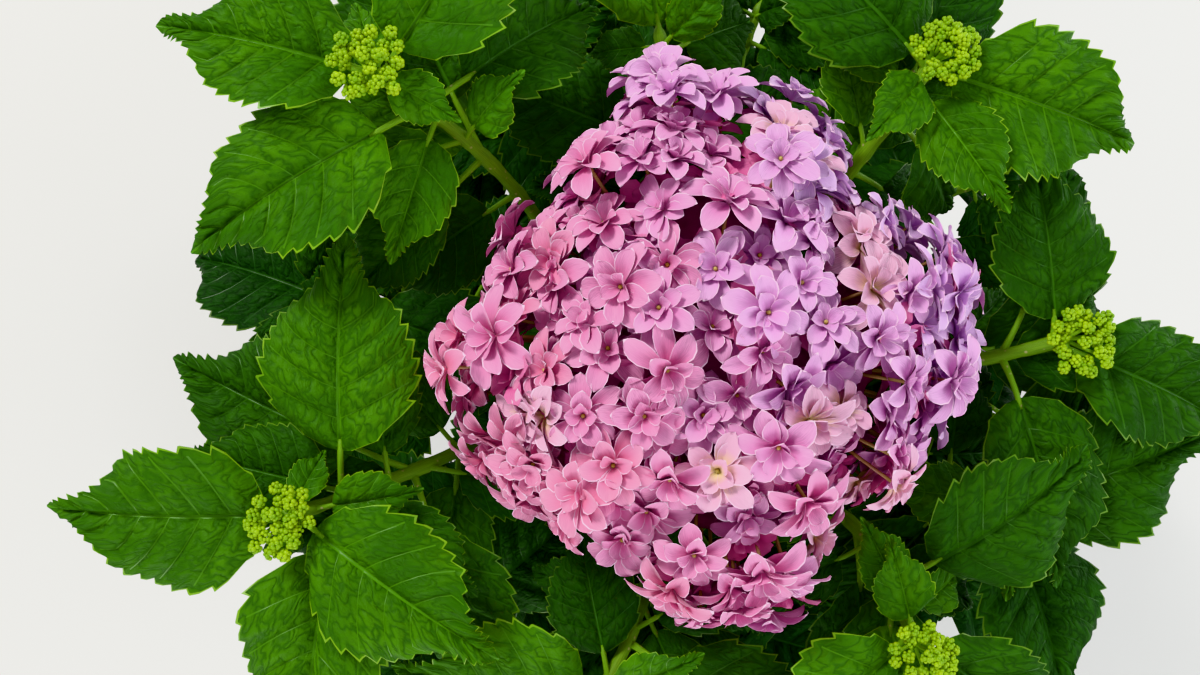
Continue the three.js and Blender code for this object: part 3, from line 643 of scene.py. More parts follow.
class Sheaf:
    """Gathers points and faces, and makes one mesh piece of them"""

    def __init__(self):
        self.points = []
        self.maps = []
        self.corners = []
        self.sizes = []
        self.finishes = []
        self.count = 0

    def add(self, points, faces, finish=0, uv=None):
        """Adds points with faces of three or four corners. finish is one number or one for each face."""
        start = self.count
        points = np.array(points, float).reshape(-1, 3)
        self.points.append(points)
        self.maps.append(np.zeros((len(points), 2)) if uv is None else np.asarray(uv).reshape(-1, 2))
        self.count += len(points)
        faces = np.asarray(faces, np.int64)
        self.corners.append((faces + start).ravel())
        self.sizes.append(np.full(len(faces), faces.shape[1]))
        self.finishes.append(np.broadcast_to(np.asarray(finish), len(faces)))
        return start

    def add_fan(self, middle, ring, sides, upward, place=(0, 0)):
        """Closes a ring of points, counted from number ring on, to a point in its middle"""
        one = ring + np.arange(sides)
        other = ring + (np.arange(sides) + 1) % sides
        corners = (one, other) if upward else (other, one)
        faces = np.stack([np.full(sides, self.count), *corners], -1) - self.count
        self.add([middle], faces, 0, [place])

    def add_shell(self, rings, foot=None, top=None, uv=None):
        """Adds closed rings from foot to top, facing out, with a fan at each end that has a middle"""
        rows, sides = np.shape(rings)[:2]
        start = self.add(rings, lattice(rows, sides, True)[:, ::-1], 0, uv)
        if foot is not None:
            self.add_fan(foot, start, sides, False)
        if top is not None:
            last = (0, 0) if uv is None else (uv[-1, 0, 0], 0)
            self.add_fan(top, start + (rows - 1) * sides, sides, True, last)

    def make(self, name, materials):
        mesh = bpy.data.meshes.new(name)
        points = np.vstack(self.points) * MM
        corners = np.concatenate(self.corners)
        sizes = np.concatenate(self.sizes)
        mesh.vertices.add(len(points))
        mesh.vertices.foreach_set("co", points.astype(np.float32).ravel())
        mesh.loops.add(len(corners))
        mesh.loops.foreach_set("vertex_index", corners.astype(np.int32))
        mesh.polygons.add(len(sizes))
        mesh.polygons.foreach_set("loop_start", (np.cumsum(sizes) - sizes).astype(np.int32))
        mesh.polygons.foreach_set("material_index", np.concatenate(self.finishes).astype(np.int32))
        mesh.polygons.foreach_set("use_smooth", np.ones(len(sizes), bool))
        layer = mesh.uv_layers.new(name="UVMap")
        layer.data.foreach_set("uv", np.vstack(self.maps)[corners].astype(np.float32).ravel())
        for material in materials:
            mesh.materials.append(material)
        mesh.update(calc_edges=True)
        mesh.validate()
        return placed(name, mesh)


def lattice(rows, columns, closed=False):
    """Faces of a grid of points, turned up where rows run along x and columns along y"""
    width = columns if closed else columns - 1
    row, column = np.indices((rows - 1, width))
    here = row * columns
    there = here + columns
    after = (column + 1) % columns
    return np.stack([here + column, there + column, there + after, here + after], -1).reshape(-1, 4)


def face_places(rows, columns):
    """The row and the column of each face of an open lattice"""
    row, column = np.indices((rows - 1, columns - 1))
    return row.ravel(), column.ravel()


# What one millimetre is on a piece's map, and how near the y axis a tube may start
MAP_SCALE = 0.01
STEEP = 0.8


def tube(sheaf, points, radii, sides, wobble=None):
    """A round tube along points, closed at both ends, with its radius changed by wobble(row, angle)"""
    points = np.asarray(points, float)
    steps = np.diff(points, axis=0)
    headings = unit(np.vstack([steps[:1], steps[:-1] + steps[1:], steps[-1:]]))
    across = np.cross(headings[0], [0.0, 1.0, 0.0] if abs(headings[0][1]) < STEEP else [1.0, 0, 0])
    angles = 2 * np.pi * np.arange(sides) / sides
    rings = []
    for row, (centre, heading, radius) in enumerate(zip(points, headings, radii)):
        across = unit(across - heading * np.dot(across, heading))
        up = np.cross(heading, across)
        reach = radius * (1 + wobble(row, angles)) if wobble else np.full(sides, radius)
        way = np.cos(angles)[:, None] * across + np.sin(angles)[:, None] * up
        rings.append(centre + reach[:, None] * way)
    lengths = np.concatenate([[0], np.cumsum(np.linalg.norm(steps, axis=1))])
    uv = np.stack(np.broadcast_arrays(lengths[:, None] * MAP_SCALE, angles[None] / (2 * np.pi)), -1)
    sheaf.add_shell(rings, points[0], points[-1], uv)


# Leaves. A blade's rows run out along its veins, from the midrib to the margin.

HALF_COLUMNS = np.array([0.0, 0.04, 0.2, 0.42, 0.62, 0.79, 0.9, 0.976, 1.0])
COLUMNS = np.concatenate([-HALF_COLUMNS[:0:-1], HALF_COLUMNS])
MIDDLE = len(HALF_COLUMNS) - 1
RIB_SIDES = [MIDDLE - 1, MIDDLE + 1]
BLADE, RIB, EDGE, VEIN = 0, 1, 2, 3
VEIN_END = 0.92
# Rows between one vein and the next, and how far each stands out at the margin: two teeth that rise
# slowly and drop off short
ROW_SHARES = (0.0, 0.045, 0.13, 0.32, 0.5, 0.58, 0.8)
ROW_TEETH = (1.0, 0.8, -0.5, 0.4, 1.0, -0.5, 0.4)
# How far along the midrib the rows start, how they crowd towards the tip, and how far each then runs
# forward to the margin. Two last rows draw the tip together.
ROOTS_END = 0.92
ROOTS_CROWD = 0.95
SWEEP = 0.55
SWEEP_POWER = 1.25
LAST_TOOTH = 0.6
TIP_ROOTS = (0.965, 1.0)
TIP_MARGINS = (0.985, 1.0)


def vein_rows(veins):
    """Where each row leaves the midrib and meets the margin, its share of the way from one vein to
    the next, and how far its tooth stands out"""
    steps = list(zip(ROW_SHARES, ROW_TEETH))
    places = [(i + share, share, tooth) for i in range(veins) for share, tooth in steps]
    places.append((veins, 0.0, LAST_TOOTH))
    place, share, tooth = np.array(places).T
    root = ROOTS_END * (place / veins) ** ROOTS_CROWD
    margin = root + SWEEP * np.sqrt(root) * (1 - root)
    return SimpleNamespace(
        root=np.append(root, TIP_ROOTS),
        margin=np.append(margin, TIP_MARGINS),
        share=np.append(share, [0.0, 0.0]),
        tooth=np.append(tooth, [0.0, 0.0]),
    )


BIG_BLADE = vein_rows(7)
SMALL_BLADE = vein_rows(5)
SMALL_LEAF = 66.0
# Shares of the leaf's length: how far the blade rises between its veins, is sunk at the midrib, is
# uneven, is toothed and is ruffled, and half the width of the midrib at its base
QUILT = 0.035
RIB_SINK = 0.015
PUCKER = 0.0062
TOOTH = 0.021
TOOTH_FORWARD = 0.008
RUFFLE = 0.043
RIB_HALF_WIDTH = 0.0105
# How much the midrib narrows towards the tip, and its least and greatest share of the blade's width
RIB_TAPER = 0.8
NARROWEST_RIB = 0.012
WIDEST_RIB = 0.15
# How much the teeth differ, how many ruffles a margin has, how far the two margins are out of step,
# and where and how much the blade draws in to its drip tip
RAGGED = 0.4
RUFFLES = 1.8
RUFFLE_LAG = 1.5
DRIP_START = 0.64
DRIP_TAPER = 0.46
# Where the teeth begin across the blade, how soon the quilting begins beside the midrib and how full
# it is, the share of its width at which a blade has its full relief, and how far out the margins stay
# in millimetres where the blade ends
TOOTH_BAND = 0.86
QUILT_START = 0.2
QUILT_POWER = 0.8
FULL_RELIEF = 0.12
MARGIN_STUB = 0.5
# How much of the midrib's sinking each column of the blade has
RIB_DEPTHS = np.zeros(len(COLUMNS))
RIB_DEPTHS[RIB_SIDES] = 0.3
RIB_DEPTHS[MIDDLE] = 1.0
# How far the map of one leaf lies from that of the next
MAP_SHIFT = 9


def blade_columns(leaf, root):
    """The shares across the blade for each row, with the midrib at its own tapering width"""
    s = np.tile(COLUMNS, (len(root), 1))
    half = np.maximum(half_width(leaf, root), 1.0)
    rib = RIB_HALF_WIDTH * leaf.length * (1 - RIB_TAPER * root) / half
    s[:, RIB_SIDES] = np.clip(rib, NARROWEST_RIB, WIDEST_RIB)[:, None] * [-1, 1]
    return s


def puckers(leaf, shape):
    """A repeatable number between -1 and 1 for each point of a blade"""
    row, column = np.indices(shape)
    turn = row * FIRST_STEP + column * SECOND_STEP + leaf.phase * THIRD_STEP
    wave = np.sin(turn) * WAVE_HEIGHT
    return 2 * (wave - np.floor(wave)) - 1


def blade_relief(leaf, rows, u, s, wide, rough):
    """How far a blade stands up from its smooth form, as a share of its length"""
    between = np.sin(np.pi * rows.share)[:, None] ** QUILT_POWER
    puff = between * np.clip(wide / QUILT_START, 0, 1) * (1 - wide ** 4)
    pucker = PUCKER * rough * puff ** 0.5
    ruffle = wide ** 3 * np.sin(2 * np.pi * (RUFFLES * u + leaf.phase) + RUFFLE_LAG * np.sign(s))
    return QUILT * puff + pucker - RIB_SINK * RIB_DEPTHS + RUFFLE * ruffle


def blade_finishes(rows):
    """The finish of each face: the midrib, the side veins, the margin or the blade between them"""
    row, column = face_places(len(rows.root), len(COLUMNS))
    vein = (rows.share[row] == 0) & (rows.share[row + 1] > 0) & (row > 0)
    near = np.abs(0.5 * (COLUMNS[:-1] + COLUMNS[1:]))[column] < VEIN_END
    finish = np.where(vein & near, VEIN, BLADE)
    finish = np.where((column == MIDDLE - 1) | (column == MIDDLE), RIB, finish)
    return np.where((column == 0) | (column == len(COLUMNS) - 2), EDGE, finish)


def add_blade(sheaf, leaf):
    rows = SMALL_BLADE if leaf.length < SMALL_LEAF else BIG_BLADE
    s = blade_columns(leaf, rows.root)
    wide = np.abs(s)
    rough = puckers(leaf, s.shape)
    ragged = 1 + RAGGED * np.where(s < 0, rough[:, :1], rough[:, -1:])
    tooth = rows.tooth[:, None] * ragged * np.clip((wide - TOOTH_BAND) / (1 - TOOTH_BAND), 0, 1)
    forward = (rows.margin - rows.root)[:, None] * wide ** SWEEP_POWER
    u = np.clip(rows.root[:, None] + forward + TOOTH_FORWARD * tooth, 0, 1)
    s = s * (1 - DRIP_TAPER * np.sin(np.pi * np.clip((u - DRIP_START) / (1 - DRIP_START), 0, 1)))
    half = half_width(leaf, u)
    full = np.clip(half / (FULL_RELIEF * leaf.width), 0, 1)
    lift = leaf.length * full * blade_relief(leaf, rows, u, s, wide, rough)
    outward = np.sign(s) * (TOOTH * leaf.length * tooth * full + MARGIN_STUB * (1 - full))
    along_rib = np.broadcast_to(rows.root[:, None], s.shape) * leaf.length
    uv = MAP_SCALE * np.stack([along_rib, s * half], -1) + MAP_SHIFT * leaf.phase
    points = blade_point(leaf, u, s, lift, outward)
    sheaf.add(points, lattice(len(rows.root), len(COLUMNS)), blade_finishes(rows), uv)


PETIOLE_RADIUS = 1.45
PETIOLE_ROWS = 8
PETIOLE_SIDES = 7
# Where a petiole meets the midrib and how far under it, how it bends on its way there as shares of
# its length, and how it widens at its foot and under the blade
JOIN_PLACE = 0.05
JOIN_DEPTH = 1.2
KNEE_RISE = 0.06
KNEE_BACK = 0.2
FOOT_FLARE = 0.9
JOIN_FLARE = 0.15
# From this length on, a leaf has a petiole of full thickness
FULL_LEAF = 90
THINNEST_PETIOLE = 0.6


def add_petiole(sheaf, leaf):
    join = blade_point(leaf, np.array(JOIN_PLACE), np.array(0.0), -JOIN_DEPTH)
    rise = np.array([0, 0, 1.0]) * KNEE_RISE * leaf.petiole
    knee = leaf.base + rise - unit(leaf.along) * KNEE_BACK * leaf.petiole
    line, t = bowed(leaf.stalk, knee, join, PETIOLE_ROWS)
    scale = THINNEST_PETIOLE + (1 - THINNEST_PETIOLE) * min(1.0, leaf.length / FULL_LEAF)
    radii = scale * (PETIOLE_RADIUS + FOOT_FLARE * (1 - t) ** 4 + JOIN_FLARE * t ** 3)
    tube(sheaf, line, radii, PETIOLE_SIDES)


# Stems

BARK_SIDES = 22
BARK_STEP = 2.6
STEM_SIDES = 12
STEM_STEP = 4.0
# Grooves, plates and rings of bark: how many go round or along a cane, and how deep each is as a
# share of the radius. The grooves and plates wander round it on the way up.
GROOVES, GROOVE_DEPTH, GROOVE_WANDER = 5, 0.055, 1.3
PLATES, PLATE_DEPTH, PLATE_WANDER = 9, 0.03, 2.1
BARK_RINGS, RING_DEPTH = 40, 0.035
BARK_TURNS = 9
PLATE_TURNS = 1.7
# A green stem's four ribs and slight unevenness, and its swelling at each leaf pair
RIBS, RIB_HEIGHT = 4, 0.03
STEM_WAVES, STEM_WAVE = 9, 0.012
NODE_SWELL = 0.22
NODE_LENGTH = 4.0
BOUGH_NODES = (0.3, 0.72)


def add_cane(sheaf, limb, number):
    """An old cane: a tapering tube with bark that splits lengthwise and peels in strips"""
    t = np.linspace(0, 1, int(2 * limb.half_length / BARK_STEP) + 2)

    def bark(row, angles):
        along = t[row] * BARK_TURNS
        groove = np.sin(GROOVES * angles + GROOVE_WANDER * math.sin(along) + number) ** 3
        plate = np.sin(PLATES * angles + PLATE_WANDER * math.sin(PLATE_TURNS * along + number))
        ring = RING_DEPTH * math.sin(BARK_RINGS * t[row] + number)
        return GROOVE_DEPTH * groove + PLATE_DEPTH * plate + ring * np.cos(2 * angles + number)

    tube(sheaf, limb.point(t), limb.radius(t), BARK_SIDES, bark)


def add_stem(sheaf, limb, nodes, number):
    """A green stem, faintly ribbed, swollen where each leaf pair stands"""
    t = np.linspace(0, 1, int(2 * limb.half_length / STEM_STEP) + 4)
    swell = np.ones(len(t))
    for node in nodes:
        swell += NODE_SWELL * np.exp(-(((t - node) * 2 * limb.half_length / NODE_LENGTH) ** 2))

    def ribs(row, angles):
        wave = STEM_WAVE * math.sin(STEM_WAVES * t[row] + number)
        return RIB_HEIGHT * np.cos(RIBS * angles + number) + wave

    tube(sheaf, limb.point(t), limb.radius(t) * swell, STEM_SIDES, ribs)


# A shoot without flower buds ends in a leaf bud: how far along it each ring stands, and its radius
TIP_BUD = ((-1.5, 2.6), (0.5, 3.4), (3.0, 3.5), (5.5, 2.7), (8.0, 1.3), (9.5, 0.4))


def add_tip_bud(sheaf, twig):
    along, radii = np.array(TIP_BUD).T
    tube(sheaf, twig.tip + along[:, None] * twig.heading(1), radii, STEM_SIDES)


# Nodes, and the trees that repeat a small form


def fill_inputs(tree, node, inputs):
    """Gives each of a node's inputs a value, or a link from another node's output"""
    for name, value in inputs.items():
        if isinstance(value, bpy.types.NodeSocket):
            tree.links.new(value, node.inputs[name])
        else:
            node.inputs[name].default_value = value


def add_node(tree, kind, inputs, **settings):
    node = tree.nodes.new(kind)
    for name, value in settings.items():
        setattr(node, name, value)
    fill_inputs(tree, node, inputs)
    return node


def new_tree(name, numbers):
    """A geometry tree with a mesh in and out, and a named input for each number"""
    tree = bpy.data.node_groups.new(name, "GeometryNodeTree")
    tree.interface.new_socket("Geometry", in_out="INPUT", socket_type="NodeSocketGeometry")
    for label, value in numbers.items():
        kind = "NodeSocketInt" if isinstance(value, int) else "NodeSocketFloat"
        tree.interface.new_socket(label, in_out="INPUT", socket_type=kind)
    tree.interface.new_socket("Geometry", in_out="OUTPUT", socket_type="NodeSocketGeometry")
    return tree, tree.nodes.new("NodeGroupInput").outputs


def finish_tree(tree, instances, material):
    """Ends a tree: its instances are made real, smooth and of one material"""
    real = add_node(tree, "GeometryNodeRealizeInstances", {"Geometry": instances})
    smooth = add_node(tree, "GeometryNodeSetShadeSmooth", {"Geometry": real.outputs["Geometry"]})
    paint = add_node(tree, "GeometryNodeSetMaterial", {
        "Geometry": smooth.outputs["Geometry"],
        "Material": material,
    })
    add_node(tree, "NodeGroupOutput", {"Geometry": paint.outputs["Geometry"]})


def modifier_key(tree, label):
    return next(item.identifier for item in tree.interface.items_tree if item.name == label)


def grown_piece(name, carrier, tree, values):
    """Runs a tree on a carrier mesh and keeps what it gives as a plain mesh piece"""
    modifier = carrier.modifiers.new("grow", "NODES")
    modifier.node_group = tree
    for label, value in values.items():
        modifier[modifier_key(tree, label)] = value
    depsgraph = bpy.context.evaluated_depsgraph_get()
    mesh = bpy.data.meshes.new_from_object(carrier.evaluated_get(depsgraph), depsgraph=depsgraph)
    carrier.modifiers.remove(modifier)
    bpy.data.objects.remove(carrier)
    mesh.name = name
    return placed(name, mesh)


def bead_tree(material):
    """Puts a round bead on each point, as big as the point's reach says"""
    tree, given = new_tree("flower_buds", BEAD_VALUES)
    bead = add_node(tree, "GeometryNodeMeshIcoSphere", {
        "Radius": 1.0,
        "Subdivisions": given["Bead roundness"],
    })
    reach = add_node(tree, "GeometryNodeInputNamedAttribute", {"Name": "reach"}, data_type="FLOAT")
    place = add_node(tree, "GeometryNodeInstanceOnPoints", {
        "Points": given["Geometry"],
        "Instance": bead.outputs["Mesh"],
        "Scale": reach.outputs["Attribute"],
    })
    finish_tree(tree, place.outputs["Instances"], material)
    return tree


def point_carrier(name, points, reach):
    mesh = bpy.data.meshes.new(name)
    mesh.from_pydata([tuple(point) for point in np.asarray(points) * MM], [], [])
    attribute = mesh.attributes.new("reach", "FLOAT", "POINT")
    attribute.data.foreach_set("value", np.asarray(reach, np.float32) * MM)
    return placed(name, mesh)


# Flower buds: small groups of beads on thin rays over the tip of a shoot

SPRIGS = 3
SPRIG_SPREAD = 3.9
SPRIG_TURN = 77
SPRIG_RADIUS = 2.5
SPRIG_HEIGHT = 0.9
BEADS_A_SPRIG = 12
BEAD_RADIUS = 1.25
BEAD_COVER = 1.3
BEAD_TURN = 40
BEAD_VALUES = {"Bead roundness": 2}
TOP_GROUP = (2, 1, 3)
ODD_GROUP_RISE = 2
RAY_RADIUS = 0.8
RAY_ROWS = 7
RAY_SIDES = 6
RAY_SUNK = 2
RAY_FORK = 4
RAY_SAG = 1.5
RAY_FLARE = 0.5
TWIGLET_RADII = (0.7, 0.6, 0.9)
TWIGLET_SIDES = 5
# Numbers that stand for a shoot in the draws of the buds
BEAD_DRAWS, GROUP_DRAWS, SPREAD_DRAWS, RISE_DRAWS = 80, 81, 82, 83
# The least and the most of what they draw
GROUP_TURNS, GROUP_REACHES = (-9, 9), (0.62, 1.0)
SPRIG_REACHES, SPRIG_RISES = (0.75, 1.15), (-2.2, 2.0)
BEAD_SIZES = (0.7, 1.15)


def bud_groups(twig, number):
    """The places that the solids' bud groups have, each shifted a little"""
    centre = cluster_centre(twig)
    for i in range(BUD_COUNT):
        key = number * BUD_COUNT + i
        if i == BUD_COUNT - 1:
            place = centre + TOP_GROUP
        else:
            bearing = 360 * i / (BUD_COUNT - 1) + drawn(GROUP_DRAWS, key, 1, *GROUP_TURNS)
            reach = BUD_RING * drawn(GROUP_DRAWS, key, 2, *GROUP_REACHES)
            place = centre + polar(bearing, reach, ODD_GROUP_RISE * (i % 2))
        yield place, key


def bud_sprigs(place, key):
    """Each group parts into a few sprigs that carry the buds"""
    for i in range(SPRIGS):
        reach = SPRIG_SPREAD * drawn(SPREAD_DRAWS, key, i, *SPRIG_REACHES)
        spread = polar(360 * i / SPRIGS + key * SPRIG_TURN, reach, 0)
        rise = drawn(RISE_DRAWS, key, i, *SPRIG_RISES)
        yield place + spread + [0, 0, rise], key * SPRIGS + i


def bead_places(centre, key):
    """Buds on the upper part of a small ball, by the golden angle"""
    for i in range(BEADS_A_SPRIG):
        height = 1 - BEAD_COVER * (i + 0.5) / BEADS_A_SPRIG
        wide = math.sqrt(max(0, 1 - height * height))
        turn = i * GOLDEN_ANGLE + key * BEAD_TURN
        place = polar(turn, SPRIG_RADIUS * wide, SPRIG_RADIUS * SPRIG_HEIGHT * height)
        yield centre + place, BEAD_RADIUS * drawn(BEAD_DRAWS, key, i, *BEAD_SIZES)


def add_bud_rays(sheaf, twig, number):
    root = twig.tip - twig.heading(1) * RAY_SUNK
    for place, key in bud_groups(twig, number):
        fork = place - [0, 0, RAY_FORK]
        knee = root * 0.5 + fork * 0.5 - [0, 0, RAY_SAG]
        line, t = bowed(root, knee, fork, RAY_ROWS)
        tube(sheaf, line, RAY_RADIUS * (1 + RAY_FLARE - RAY_FLARE * t), RAY_SIDES)
        for sprig, _ in bud_sprigs(place, key):
            tube(sheaf, [fork, 0.5 * (fork + sprig), sprig], TWIGLET_RADII, TWIGLET_SIDES)


# The flower head: double florets on rays, over a dense inside of smaller ones

FLORET_COUNT = 150
INNER_COUNT = 96
INNER_DEPTH = 15.0
PETAL_REACH = 1.17
# Each whorl of petals: how many, how long and wide for the floret's radius, how steep, how it arches
# along its length and how far its sides turn up
WHORLS = (
    (6, 1.0, 0.258, 4.0, -0.10, 0.30),
    (5, 0.80, 0.25, 22.0, -0.06, 0.36),
    (4, 0.56, 0.225, 44.0, 0.04, 0.5),
)
INNER_WHORLS = ((5, 0.95, 0.32, 22.0, -0.06, 0.2), (3, 0.6, 0.3, 50.0, 0.05, 0.3))
# How far the dome goes on past its widest level, and the rounded groups that the florets stand in
DOME_COVER = 1.17
LUMPS = 17
LUMP_RISE = 8.0
LUMP_REACH = 27.0
LUMP_START = 0.4
LUMP_TURN = 25
# How much wider the head grows towards its underside, how far the florets turn with the dome, and
# from where on one counts as facing straight up
HEAD_SPREAD = 6.0
FACING_SHARE = 0.9
UPRIGHT = 0.95
# Where the stalks of the florets part from the rays, between a place under the middle and the floret
CORE_DROP = 6
CORE_SHARES = (0.34, 0.66)
PETAL_ROWS = np.array([0.0, 0.16, 0.36, 0.57, 0.76, 0.89, 0.96, 1.0])
PETAL_COLUMNS = np.array([-1.0, -0.93, -0.48, 0.0, 0.48, 0.93, 1.0])
INNER_ROWS = np.array([0.0, 0.3, 0.65, 0.9, 1.0])
INNER_COLUMNS = np.array([-1.0, -0.5, 0.0, 0.5, 1.0])
# A petal's half width by the powers of its outline and the height of that curve, its narrow claw, and
# how it is creased, arched, rippled and hollowed as shares of its length
PETAL_RISE, PETAL_FALL, PETAL_ROUND = 0.85, 2.8, 0.62
PETAL_PEAK = 0.557
PETAL_CLAW, CLAW_TAPER = 0.07, 0.6
PETAL_CREASE, CREASE_POWER = 0.05, 0.7
PETAL_SWELL, SWELL_END = 0.10, 0.85
ARCH_POWER = 2.4
PETAL_RIPPLE, RIPPLE_ALONG, RIPPLE_ACROSS = 0.045, 5, 2.6
PETAL_START = 0.045
PETAL_SHOULDER = 0.03
RIM_START = 0.88
# The tones of the petals go from warm pink to lavender, then one for young florets, then the rim
PETAL_TONES = 6
YOUNG_TONE = PETAL_TONES - 1
PETAL_RIM = PETAL_TONES
WARMTH_X, WARMTH_Y, WARMTH_SPREAD = 0.86, 0.42, 2.1
# Where the young florets with pale hearts stand, from the middle of the head
YOUNG_PLACES = ((40, 98), (62, 52), (70, 30), (47, -28), (-82, -24), (40, -96), (73, -73), (-8, -62))
YOUNG_REACH = 13.0
# Numbers that stand for a shoot in the draws of the head, and the steps between its petals' numbers
FLORET_DRAWS, TONE_DRAWS, WHORL_DRAWS, PETAL_DRAWS, BEARING_DRAWS = 70, 71, 72, 73, 74
BEARING_DRIFTS = (-7, 7)
TONE_DRIFTS = (-0.14, 0.14)
# What each floret draws for itself: the number of the draw, the least and the most
FLORET_DRIFTS = SimpleNamespace(
    jut=(1, -7, 7),
    lean_x=(2, -0.52, 0.52),
    lean_y=(3, -0.52, 0.52),
    lean_z=(4, -0.1, 0.3),
    radius=(5, 0.8, 1.04),
    turn=(6, 0, 1),
)
FLORET_STEP = 31
WHORL_STEP = 7
# The least and the most of what each petal draws: its turn, length, lean, width and arch
PETAL_DRIFTS = ((-0.16, 0.16), (0.88, 1.06), (-13, 13), (0.88, 1.1), (-0.05, 0.05))
RIPPLE_PHASES = (0, 6)
PETAL_TWISTS = (-0.22, 0.22)
HEART_RISE = 1.4
HEART_RADIUS = 1.05


def on_dome(share, bearing, jut):
    """A place on the head's dome, from its top at share 0 to its underside at 1, and its slant"""
    slant = math.acos(1 - DOME_COVER * share)
    level = HEAD_EDGE_HEIGHT + (HEAD_DOME + jut) * math.cos(slant)
    radius = float(head_outline(bearing % 360))
    return HEAD_CENTRE + polar(bearing, (radius + jut) * math.sin(slant), level), slant


LUMP_PLACES = [
    on_dome((i + LUMP_START) / LUMPS, i * GOLDEN_ANGLE + LUMP_TURN, 0)[0] for i in range(LUMPS)
]


def lump(place):
    """How far the head bulges at a place: its florets gather in rounded groups with dips between"""
    nearest = min(span(place, centre) for centre in LUMP_PLACES)
    return LUMP_RISE * (1 - 2 * min(1.0, nearest / LUMP_REACH) ** 2)


def floret_plan(number, count, depth):
    def draw(of):
        return drawn(FLORET_DRAWS, number, *of)

    share = (number + 0.5) / count
    bearing = number * GOLDEN_ANGLE + drawn(BEARING_DRAWS, number, 1, *BEARING_DRIFTS)
    smooth, _ = on_dome(share, bearing, 0.0)
    jut = draw(FLORET_DRIFTS.jut) + lump(smooth) + HEAD_SPREAD * share - depth
    centre, slant = on_dome(share, bearing, jut)
    lean = slant * FACING_SHARE
    drift = [draw(FLORET_DRIFTS.lean_x), draw(FLORET_DRIFTS.lean_y), draw(FLORET_DRIFTS.lean_z)]
    return SimpleNamespace(
        number=number,
        centre=centre,
        facing=unit(polar(bearing, math.sin(lean), math.cos(lean)) + drift),
        radius=PETAL_REACH * FLORET_RADIUS * draw(FLORET_DRIFTS.radius),
        turn=draw(FLORET_DRIFTS.turn),
        core=(HEAD_MIDDLE - [0, 0, CORE_DROP]) * CORE_SHARES[0] + centre * CORE_SHARES[1],
    )


def floret_frame(facing):
    """Two directions across a floret that are square to each other and to where it faces"""
    reference = [1.0, 0, 0] if abs(facing[2]) > UPRIGHT else [0, 0, 1.0]
    across = unit(np.cross(reference, facing))
    return across, np.cross(facing, across)


def petal_tone(plan):
    """Warm pink on the left of the head, lilac on its right, with some drift from floret to floret"""
    away = plan.centre - HEAD_CENTRE
    for place in YOUNG_PLACES:
        if math.hypot(away[0] - place[0], away[1] - place[1]) < YOUNG_REACH:
            return YOUNG_TONE
    warmth = 0.5 + (WARMTH_X * away[0] + WARMTH_Y * away[1]) / (WARMTH_SPREAD * HEAD_RADIUS)
    warmth += drawn(TONE_DRAWS, plan.number, 1, *TONE_DRIFTS)
    return int(min(YOUNG_TONE - 1, max(0, warmth * YOUNG_TONE)))


def petal_points(plan, petal, a, b):
    """The points of a petal, a from its claw at 0 to its tip at 1 and b from side to side"""
    across, up = floret_frame(plan.facing)
    out = across * math.cos(petal.angle) + up * math.sin(petal.angle)
    side = up * math.cos(petal.angle) - across * math.sin(petal.angle)
    axis = out * math.cos(petal.tilt) + plan.facing * math.sin(petal.tilt)
    normal = plan.facing * math.cos(petal.tilt) - out * math.sin(petal.tilt)
    length = petal.length
    shape = a ** PETAL_RISE * (1 - a ** PETAL_FALL) ** PETAL_ROUND
    half = petal.half * np.maximum(shape / PETAL_PEAK, PETAL_CLAW * (1 - CLAW_TAPER * a))
    crease = PETAL_CREASE * length * np.abs(b) ** CREASE_POWER * np.sin(np.pi * a)
    curve = length * (PETAL_SWELL * np.sin(np.pi * a * SWELL_END) + petal.arch * a ** ARCH_POWER)
    lift = curve + petal.cup * half * b * b + crease
    phase = drawn(PETAL_DRAWS, petal.key, 1, *RIPPLE_PHASES)
    ripple = np.sin(RIPPLE_ALONG * a + RIPPLE_ACROSS * b + phase)
    lift = lift + PETAL_RIPPLE * length * ripple * b * a
    twist = drawn(PETAL_DRAWS, petal.key, 2, *PETAL_TWISTS) * a * half * b
    return (
        plan.centre + out * (PETAL_START * plan.radius)
        + (a * length * (1 - PETAL_SHOULDER * b * b))[..., None] * axis
        + (half * b)[..., None] * side
        + (lift + twist)[..., None] * normal
    )


def petal_finishes(rows, columns, tone, rim):
    """The finish of each face of a petal: its tone, and the rim along its margin where it has one"""
    row, column = face_places(len(rows), len(columns))
    if rim is None:
        return np.full(len(row), tone)
    middle = np.abs(0.5 * (columns[:-1] + columns[1:]))[column]
    return np.where((middle > RIM_START) | (row == len(rows) - 2), rim, tone)


def add_floret(sheaf, plan, whorls, rows, columns, tone, rim=None):
    a = rows[:, None]
    b = columns[None, :]
    uv = np.stack(np.broadcast_arrays(a, 0.5 + 0.5 * b), -1)
    faces = lattice(len(rows), len(columns))
    finish = petal_finishes(rows, columns, tone, rim)
    for level, (count, length, wide, tilt, arch, cup) in enumerate(whorls):
        for i in range(count):
            key = plan.number * FLORET_STEP + level * WHORL_STEP + i
            turn, reach, lean, spread, bow = (
                drawn(WHORL_DRAWS, key, index + 1, *ends) for index, ends in enumerate(PETAL_DRIFTS)
            )
            petal = SimpleNamespace(
                key=key,
                angle=2 * math.pi * (i + plan.turn + 0.5 * level) / count + turn,
                length=plan.radius * length * reach,
                half=plan.radius * wide * length ** 0.25 * spread,
                tilt=math.radians(tilt + lean),
                arch=arch + bow,
                cup=cup,
            )
            sheaf.add(petal_points(plan, petal, a, b), faces, finish, uv)


